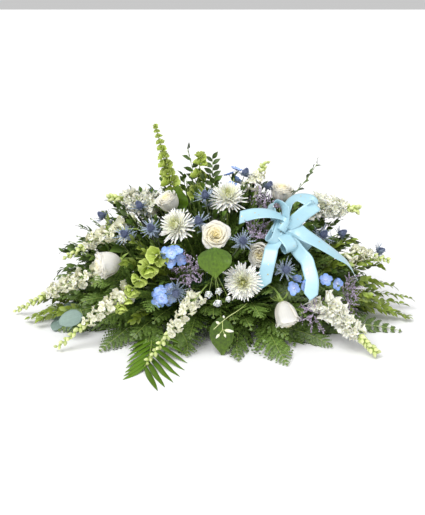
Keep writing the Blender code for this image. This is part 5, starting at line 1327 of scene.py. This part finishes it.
# Where young, yellow-green sprigs stand: over the rose at the left, and low at both ends.
LIGHT_TIPS = {
    "ruscus_left": ((-0.215, -0.165, 0.285), (-0.180, -0.190, 0.262), (-0.235, -0.190, 0.235),
                    (-0.150, -0.205, 0.225), (-0.500, -0.120, 0.030), (-0.460, -0.060, 0.090),
                    (-0.520, -0.050, 0.050)),
    "ruscus_top": (),
    "ruscus_right": ((0.500, -0.100, 0.060), (0.465, -0.125, 0.095), (0.530, -0.020, 0.090),
                     (0.555, -0.050, 0.045), (0.500, 0.010, 0.140), (0.440, -0.060, 0.180),
                     (0.420, -0.050, 0.200), (0.455, -0.030, 0.175), (0.400, -0.020, 0.235),
                     (0.380, -0.090, 0.190), (0.480, -0.060, 0.120), (0.440, -0.120, 0.110))}
rng = np.random.default_rng(5)
for name in RUSCUSES:
    piece = Piece()
    for way in ROUTES[name]:
        line = smooth(way["line"], 30)
        taper(piece, line, 0.0021, 0.0007, 6, 1)
        upper = way["line"][-1, 2] > 0.38
        leafy(piece, line, 22 if upper else 38, 0.45 if upper else 0.30, 0.040, 0.019, POINTED, rng,
              0.35 if upper else 0.8, shrink=0.25 if upper else 0.5, kind=2 if upper else 0)
    dark = np.vstack([filler_tips(60, 0.10, 0.95, 0.95), ridge_tips(30, -0.02), collar_tips(34),
                      BEHIND + (0.015, 0.0, -0.01)])
    dark = clear_of_blooms(dark)
    side = {"ruscus_left": dark[:, 0] < -0.21, "ruscus_right": dark[:, 0] > 0.21}
    side["ruscus_top"] = ~(side["ruscus_left"] | side["ruscus_right"])
    for kind, tips in ((0, np.reshape(LIGHT_TIPS[name], (-1, 3))), (2, dark[side[name]])):
        for tip in tips:
            line = arch(wanted_hole(tip) * 0.95, tip, 0.03, 14)
            taper(piece, line, 0.0016, 0.0006, 5, 1)
            leafy(piece, line, 24, 0.35, 0.036, 0.021, POINTED, rng, spiral=1.0, shrink=0.35,
                  kind=kind if tip[2] > 0.1 else 0, rows=6, columns=3, loose=0.6)
    piece.finish(name + "_leaves", [RUSCUS, STALK, LEAF], "ruscus", [name])

palm = Piece()
line = smooth(ROUTES["palm_front"][0]["line"], 40)
taper(palm, line, 0.0026, 0.0010, 7, 1)
total = reach_of(line)[-1]
share = np.linspace(0, 1, 8)
seats = at_lengths(line, total * (0.50 + 0.49 * share))
ahead = unit(np.gradient(seats, axis=0))
side = unit(np.cross(ahead, (0, 0, 1.0)))
reach = 0.075 + 0.050 * np.sin(math.pi * (0.25 + 0.60 * (1 - share)))
for way, longer in ((1, 0.75), (-1, 1.15)):
    ways = side * way + ahead * (0.60 + 1.1 * share)[:, None]
    leaflets = blades(seats, ways, np.array([0, 0, 1.0]), reach * longer, 0.0165,
                      (0.35, 0.80, 1.0, 0.95, 0.8, 0.5, 0.06), 12, 5, bend=-0.22, cup=-0.25)
    palm.add(leaflets, 0, 0.5 + 0.4 * way * share)
palm.finish("palm_front_leaflets", [PALM, STALK], "palm", ["palm_front"], THIN)

eucalyptus = Piece()
line = smooth(ROUTES["eucalyptus_left"][0]["line"], 40)
taper(eucalyptus, line, 0.0022, 0.0012, 7, 1)
leafy(eucalyptus, line, 7, 0.52, 0.062, 0.056, ROUND, rng, 0.45, 0.35, 0.15, 0.08, 0.03, 0.25, 0, 10, 9)
# One more leaf stands in front of the stem, on a stalk from its nearest point.
seat = np.array([-0.364, -0.186, 0.074])
near = line[np.argmin(np.linalg.norm(line - seat, axis=1))]
stalk = np.array([near, near * 0.5 + seat * 0.5 + (0, 0, 0.015), seat])
eucalyptus.add(tubes(stalk, 0.0009, 5), 1, closed=True)
leaf = blades(seat[None], np.array([-0.064, -0.012, -0.018]), np.array([0.0, -0.6, 0.8]), 0.068, 0.052,
              ROUND, 12, 9, cup=0.1)
eucalyptus.add(leaf, 0, 0.7)
eucalyptus.finish("eucalyptus_left_leaves", [EUCALYPTUS, STALK], "eucalyptus", ["eucalyptus_left"], THIN)

# %% [markdown]
# Two small things lie in front of the lower broad leaf: pale blossoms on hair-thin stalks that come from
# under the upper leaf, and a twig with a few closed buds. They are small, but the eye finds them, as they
# are light on dark.

# %% Pale blossoms and a budded twig
BLOSSOM = look("pale blossom", (0.80, 0.86, 0.72), (0.93, 0.94, 0.98), variety=0.15, slant=4.0,
               roughness=0.6, soft=0.5)
BLOSSOM_FOOT = np.array((0.004, -0.235, 0.231))
BLOSSOMS = np.array([(-0.009, -0.287, 0.187), (0.016, -0.280, 0.193),
                     (0.013, -0.290, 0.164), (0.040, -0.275, 0.169)])
BLOSSOM_RADII = np.array([0.0130, 0.0120, 0.0135, 0.0100])
TWIG_LINES = [[(0.095, -0.225, 0.128), (0.069, -0.275, 0.129), (0.042, -0.292, 0.118),
               (0.023, -0.300, 0.105), (0.003, -0.303, 0.086)],
              [(0.027, -0.299, 0.106), (0.027, -0.308, 0.087)]]
TWIG_BUDS = np.array([((0.032, -0.297, 0.114), (0.029, -0.300, 0.126)),
                      ((0.019, -0.302, 0.102), (0.009, -0.306, 0.111)),
                      ((0.027, -0.308, 0.087), (0.058, -0.312, 0.084)),
                      ((0.027, -0.308, 0.087), (0.009, -0.312, 0.063)),
                      ((0.027, -0.308, 0.087), (0.036, -0.312, 0.066))])
BUD_LENGTHS = np.array([0.009, 0.014, 0.026, 0.016, 0.011])
BUD_RADII = np.array([0.0030, 0.0040, 0.0048, 0.0038, 0.0032])


def small_flowers(piece):
    """Two cups, one in the other, for a blossom, and a bud at the end of a short stalk for each pair of
    places."""
    lean = unit(BLOSSOMS - BLOSSOM_FOOT + [0, -0.05, 0.02])
    for tip in BLOSSOMS:
        piece.add(tubes(arch(BLOSSOM_FOOT, tip, 0.012, 12), 0.0006, 5), 1, closed=True)
    for share, length in ((1.0, 0.010), (0.62, 0.014)):
        cup = cups(BLOSSOMS, lean, lean[:, [2, 0, 1]], length, BLOSSOM_RADII * share, 5, 0.55, 0.5, 0.12,
                   1.0, 0.25, 7, 20)
        piece.add(cup, 3)
    for line in TWIG_LINES:
        piece.add(tubes(smooth(np.array(line), 24), 0.0009, 5), 4, closed=True)
    roots, ends = TWIG_BUDS[:, 0], TWIG_BUDS[:, 1]
    ways = unit(ends - roots)
    feet = ends - ways * BUD_LENGTHS[:, None]
    stalks = np.stack([roots, (roots + feet) / 2 + [0, -0.001, 0.001], feet + ways * 0.001], axis=1)
    piece.add(tubes(stalks, 0.0007, 5), 4, closed=True)
    piece.add(buds(feet, ways, ways[:, [2, 0, 1]], BUD_LENGTHS, BUD_RADII, 8, 8, 0.7), 5, 0.6, closed=True)


# %% [markdown]
# Salal has broad leathery leaves with a soft point. Four large ones stand where the picture or the hidden
# side wants them, each a blade with many rows so that it can droop smoothly. Sprigs of smaller dark leaves
# fill the mound.

# %% Salal leaves
BROAD = (0.16, 0.72, 0.96, 1.0, 0.96, 0.80, 0.52, 0.22, 0.03)
LONG_LEAF = 0.12  # in metres; a longer leaf is narrower for its length, and its colour is darker as painted shade, since the long lower leaf lies in shade
for name, heads in SALALS.items():
    piece = Piece()
    for way, (tip, heading, (length, half)) in zip(ROUTES[name], heads):
        root = np.array(tip) - unit(heading) * length * 0.8
        line = smooth(way["line"], 40)
        stalk = smooth(np.vstack([line[reach_of(line) < reach_of(line)[-1] * 0.6][::6], root]), 30)
        piece.add(tubes(stalk, 0.0018, 7), 1, closed=True)
        face = np.array([0, -0.75, 0.65]) if tip[1] < 0.1 else np.array([0, 0.75, 0.65])
        # The long lower leaf gets tone 0, which darkens its colour: painted shade.
        wide, tone = (1.85, 0.0) if length > LONG_LEAF else (2.15, 0.5)
        leaf = blades(root[None], unit(heading), face, length * 0.86, half * wide, BROAD, 17, 13, bend=-0.25,
                      cup=0.22, ripple=0.05)
        piece.add(leaf, 0, tone)
    where = filler_tips(34, 0.05, 0.97, 0.84) if name == "salal_upper" else filler_tips(30, 0.0, 0.85, 0.80)
    for tip in clear_of_blooms(where):
        if (tip[1] < 0) == (name == "salal_front"):
            line = arch(wanted_hole(tip) * 0.95, tip, 0.02, 12)
            piece.add(tubes(line, 0.0012, 5), 1, closed=True)
            leafy(piece, line, 6, 0.55, 0.062, 0.036, POINTED, rng, 0.7, 0.6, 0.5, 0.2, 0.06, 0.2, 2, 9, 7)
    if name == "salal_front":
        small_flowers(piece)
    extra = [BLOSSOM, GREEN_BUD, WHITE] if name == "salal_front" else []
    piece.finish(name + "_leaves", [SALAL, STALK, LEAF] + extra, "salal", [name])

# %% [markdown]
# The bow is one length of pale blue satin ribbon, 38 mm wide, in loops and tails pinched at the knot. Satin
# has a soft sheen along its threads, and this one has small gold flecks printed on it.

# %% Satin with gold flecks
# A fleck's radius as a share of its cell, the share of cells without one, half the share of the width that is
# printed, and how quickly the threads' sine runs across the ribbon.
FLECK_RADIUS, FLECKS_LEFT_OUT, PRINTED_HALF, THREADS = 0.17, 0.80, 0.22, 480.0
satin, tree, shader = new_material("satin ribbon")
calc = functools.partial(math_node, tree)
marks = put_node(tree, "ShaderNodeSeparateXYZ", {0: put_node(
    tree, "ShaderNodeAttribute", attribute_name="blade").outputs["Vector"]}).outputs
place = put_node(tree, "ShaderNodeTexCoord").outputs["Object"]
cells = put_node(tree, "ShaderNodeTexVoronoi", {"Vector": place, "Scale": 85.0, "Randomness": 1.0})
chance = put_node(tree, "ShaderNodeSeparateColor", {0: cells.outputs["Color"]}).outputs[0]
near = calc("LESS_THAN", cells.outputs["Distance"], FLECK_RADIUS)
chosen = calc("GREATER_THAN", chance, FLECKS_LEFT_OUT)
middle = calc("LESS_THAN", calc("ABSOLUTE", calc("SUBTRACT", marks[0], 0.5)), PRINTED_HALF)
fleck = calc("MULTIPLY", calc("MULTIPLY", near, chosen), middle)
threads = calc("SINE", calc("MULTIPLY", marks[0], THREADS))
cloud = put_node(tree, "ShaderNodeTexNoise", {"Vector": place, "Scale": 30.0, "Detail": 2.0}).outputs["Fac"]
blue = mix_colours(tree, cloud, (0.33, 0.57, 0.67, 1), (0.42, 0.66, 0.76, 1))
tree.links.new(mix_colours(tree, fleck, blue, (0.85, 0.62, 0.22, 1)), shader.inputs["Base Color"])
tree.links.new(fleck, shader.inputs["Metallic"])
tree.links.new(calc("MULTIPLY_ADD", cloud, 0.15, 0.26), shader.inputs["Roughness"])
relief = put_node(tree, "ShaderNodeBump", {"Height": threads, "Strength": 0.08, "Distance": 0.0002})
tree.links.new(relief.outputs["Normal"], shader.inputs["Normal"])
fill(shader, {"Sheen Weight": 0.3, "Specular IOR Level": 0.8, "Coat Weight": 0.12, "Coat Roughness": 0.20})
print("satin has", len(tree.nodes), "nodes")

# %% [markdown]
# The ribbon is carried along its drawn paths: the same straight line across, placed at each step along the
# path and turned with it. Cloth simulation could drape it, but a tied bow holds its shape, and a drawn path
# keeps the loops where they are in the picture. The cuts at the ends are slanted or notched by stopping each
# column at its own length.

# %% Bow
RIBBON, PINCH_REACH = 0.038, 0.030  # the ribbon's width, and how far it takes to open fully, in metres


def ribbon(rows, pinches, slant, steps=48, columns=9):
    """A ribbon along a smooth line. Its directions across are turned to the same side, so that its edges
    don't swap. Its width grows from a pinch at the knot by the square root of the length, a cosine folds it
    there, and each column stops where the slanted cut crosses it."""
    way = unit(np.gradient(rows[:, :3], axis=0))
    square = unit(rows[:, 3:] - way * (rows[:, 3:] * way).sum(-1, keepdims=True))
    same_side = np.cumprod(np.append(1, np.sign((square[1:] * square[:-1]).sum(-1))))
    curve = smooth(np.hstack([rows[:, :3], square * same_side[:, None]]), 240)
    reach, u = reach_of(curve[:, :3]), np.linspace(-0.5, 0.5, columns)
    ends = reach[-1] - slant * (np.abs(u) if slant < 0 else u + 0.5) * RIBBON * np.sign(slant)
    wanted = np.linspace(0, 1, steps)[:, None] * ends
    grid = np.stack([np.interp(wanted, reach, column) for column in curve.T], axis=-1)
    line, ahead = grid[..., :3], unit(np.gradient(grid[..., :3], axis=0))
    across = unit(grid[..., 3:] - ahead * (grid[..., 3:] * ahead).sum(-1, keepdims=True))
    open_up = np.ones_like(wanted)
    for pinch, left in zip(pinches, (wanted, reach[-1] - wanted)):
        open_up = np.minimum(open_up, pinch + (1 - pinch) * np.sqrt((left / PINCH_REACH).clip(0, 1)))
    fold = np.cos(3 * math.pi * u)[None] * 0.005 * (1 - open_up)
    flat = line + across * (u * RIBBON * open_up)[..., None]
    return (flat + np.cross(across, ahead) * fold[..., None])[None]


# How far each tail's cut slants, in ribbon widths. Minus one is a notch.
CUTS = {"left_tail": 0.25, "lower_left_tail": 1.0, "middle_tail": -1.0, "right_tail": 0.8}
bow, lengths = Piece(), []
for name, rows in bands.items():
    pinches = (1, 1) if name == "wrap" else (0.35, 1) if name in CUTS else (0.35, 0.35)
    bow.add(ribbon(rows, pinches, CUTS.get(name, 1e-6)))
    lengths.append(reach_of(smooth(rows, 240)[:, :3])[-1])
bow_piece = bow.finish("bow_ribbon", [satin], "ribbon", ["bow"], FIRM)
print("ribbon", round(float(sum(lengths)), 3), "m long")

# %% [markdown]
# The tray, the foam and the pick stay as their solids, as they are plain rigid things, and get their real
# finishes: moulded green plastic, soaked foam with fine open cells, and whittled wood.

# %% Tray, foam and pick
def plain_finish(node, low, high, scale, roughness, strength, distance):
    """A finish for a rigid solid: two tones and a relief from one noise."""
    made, tree, shader = new_material(node + " finish")
    place = put_node(tree, "ShaderNodeTexCoord").outputs["Object"]
    noise = put_node(tree, "ShaderNodeTexNoise", {"Vector": place, "Scale": scale, "Detail": 6.0})
    grain = noise.outputs["Fac"]
    tree.links.new(mix_colours(tree, grain, (*low, 1), (*high, 1)), shader.inputs["Base Color"])
    tree.links.new(math_node(tree, "MULTIPLY_ADD", grain, 0.2, roughness - 0.1), shader.inputs["Roughness"])
    relief = put_node(tree, "ShaderNodeBump", {"Height": grain, "Strength": strength, "Distance": distance})
    tree.links.new(relief.outputs["Normal"], shader.inputs["Normal"])
    solid = frame["nodes"][node]
    solid.data.materials.clear()
    solid.data.materials.append(made)


plain_finish("tray", (0.020, 0.085, 0.030), (0.035, 0.120, 0.045), 60.0, 0.45, 0.2, 0.0005)
plain_finish("foam", (0.014, 0.050, 0.014), (0.035, 0.095, 0.028), 900.0, 0.95, 0.8, 0.001)
plain_finish("bow_pick", (0.120, 0.220, 0.070), (0.220, 0.320, 0.120), 200.0, 0.80, 0.4, 0.0005)

# %% [markdown]
# The studio is a pale floor under soft white light from all round, and one large lamp above and in front
# that gives the petals their shading and the spray its soft shadow.

# %% Floor and light
span = np.array([-6.0, 6.0])
floor_mesh = bpy.data.meshes.new("floor")
floor_mesh.from_pydata([(x, y, 0) for y in span for x in span], [], [(0, 1, 3, 2)])
floor = bpy.data.objects.new("floor", floor_mesh)
bpy.context.scene.collection.objects.link(floor)
paper, _, shader = new_material("floor paper")
fill(shader, {"Base Color": (0.90, 0.90, 0.91, 1), "Roughness": 0.9})
floor_mesh.materials.append(paper)

world = bpy.data.worlds.new("studio")
world.use_nodes = True
fill(world.node_tree.nodes["Background"], {"Color": (1, 1, 1, 1), "Strength": 0.58})
bpy.context.scene.world = world
for name, way, wide, power in (("key", (0.40, 0.55, -1.0), 35, 2.35), ("fill", (-0.8, 0.9, -0.7), 80, 0.6)):
    lamp = bpy.data.objects.new(name, bpy.data.lights.new(name, "SUN"))
    lamp.data.angle, lamp.data.energy = math.radians(wide), power
    lamp.rotation_euler = Vector(way).to_track_quat("-Z", "Y").to_euler()
    bpy.context.scene.collection.objects.link(lamp)
bpy.context.scene.view_settings.view_transform = "Standard"
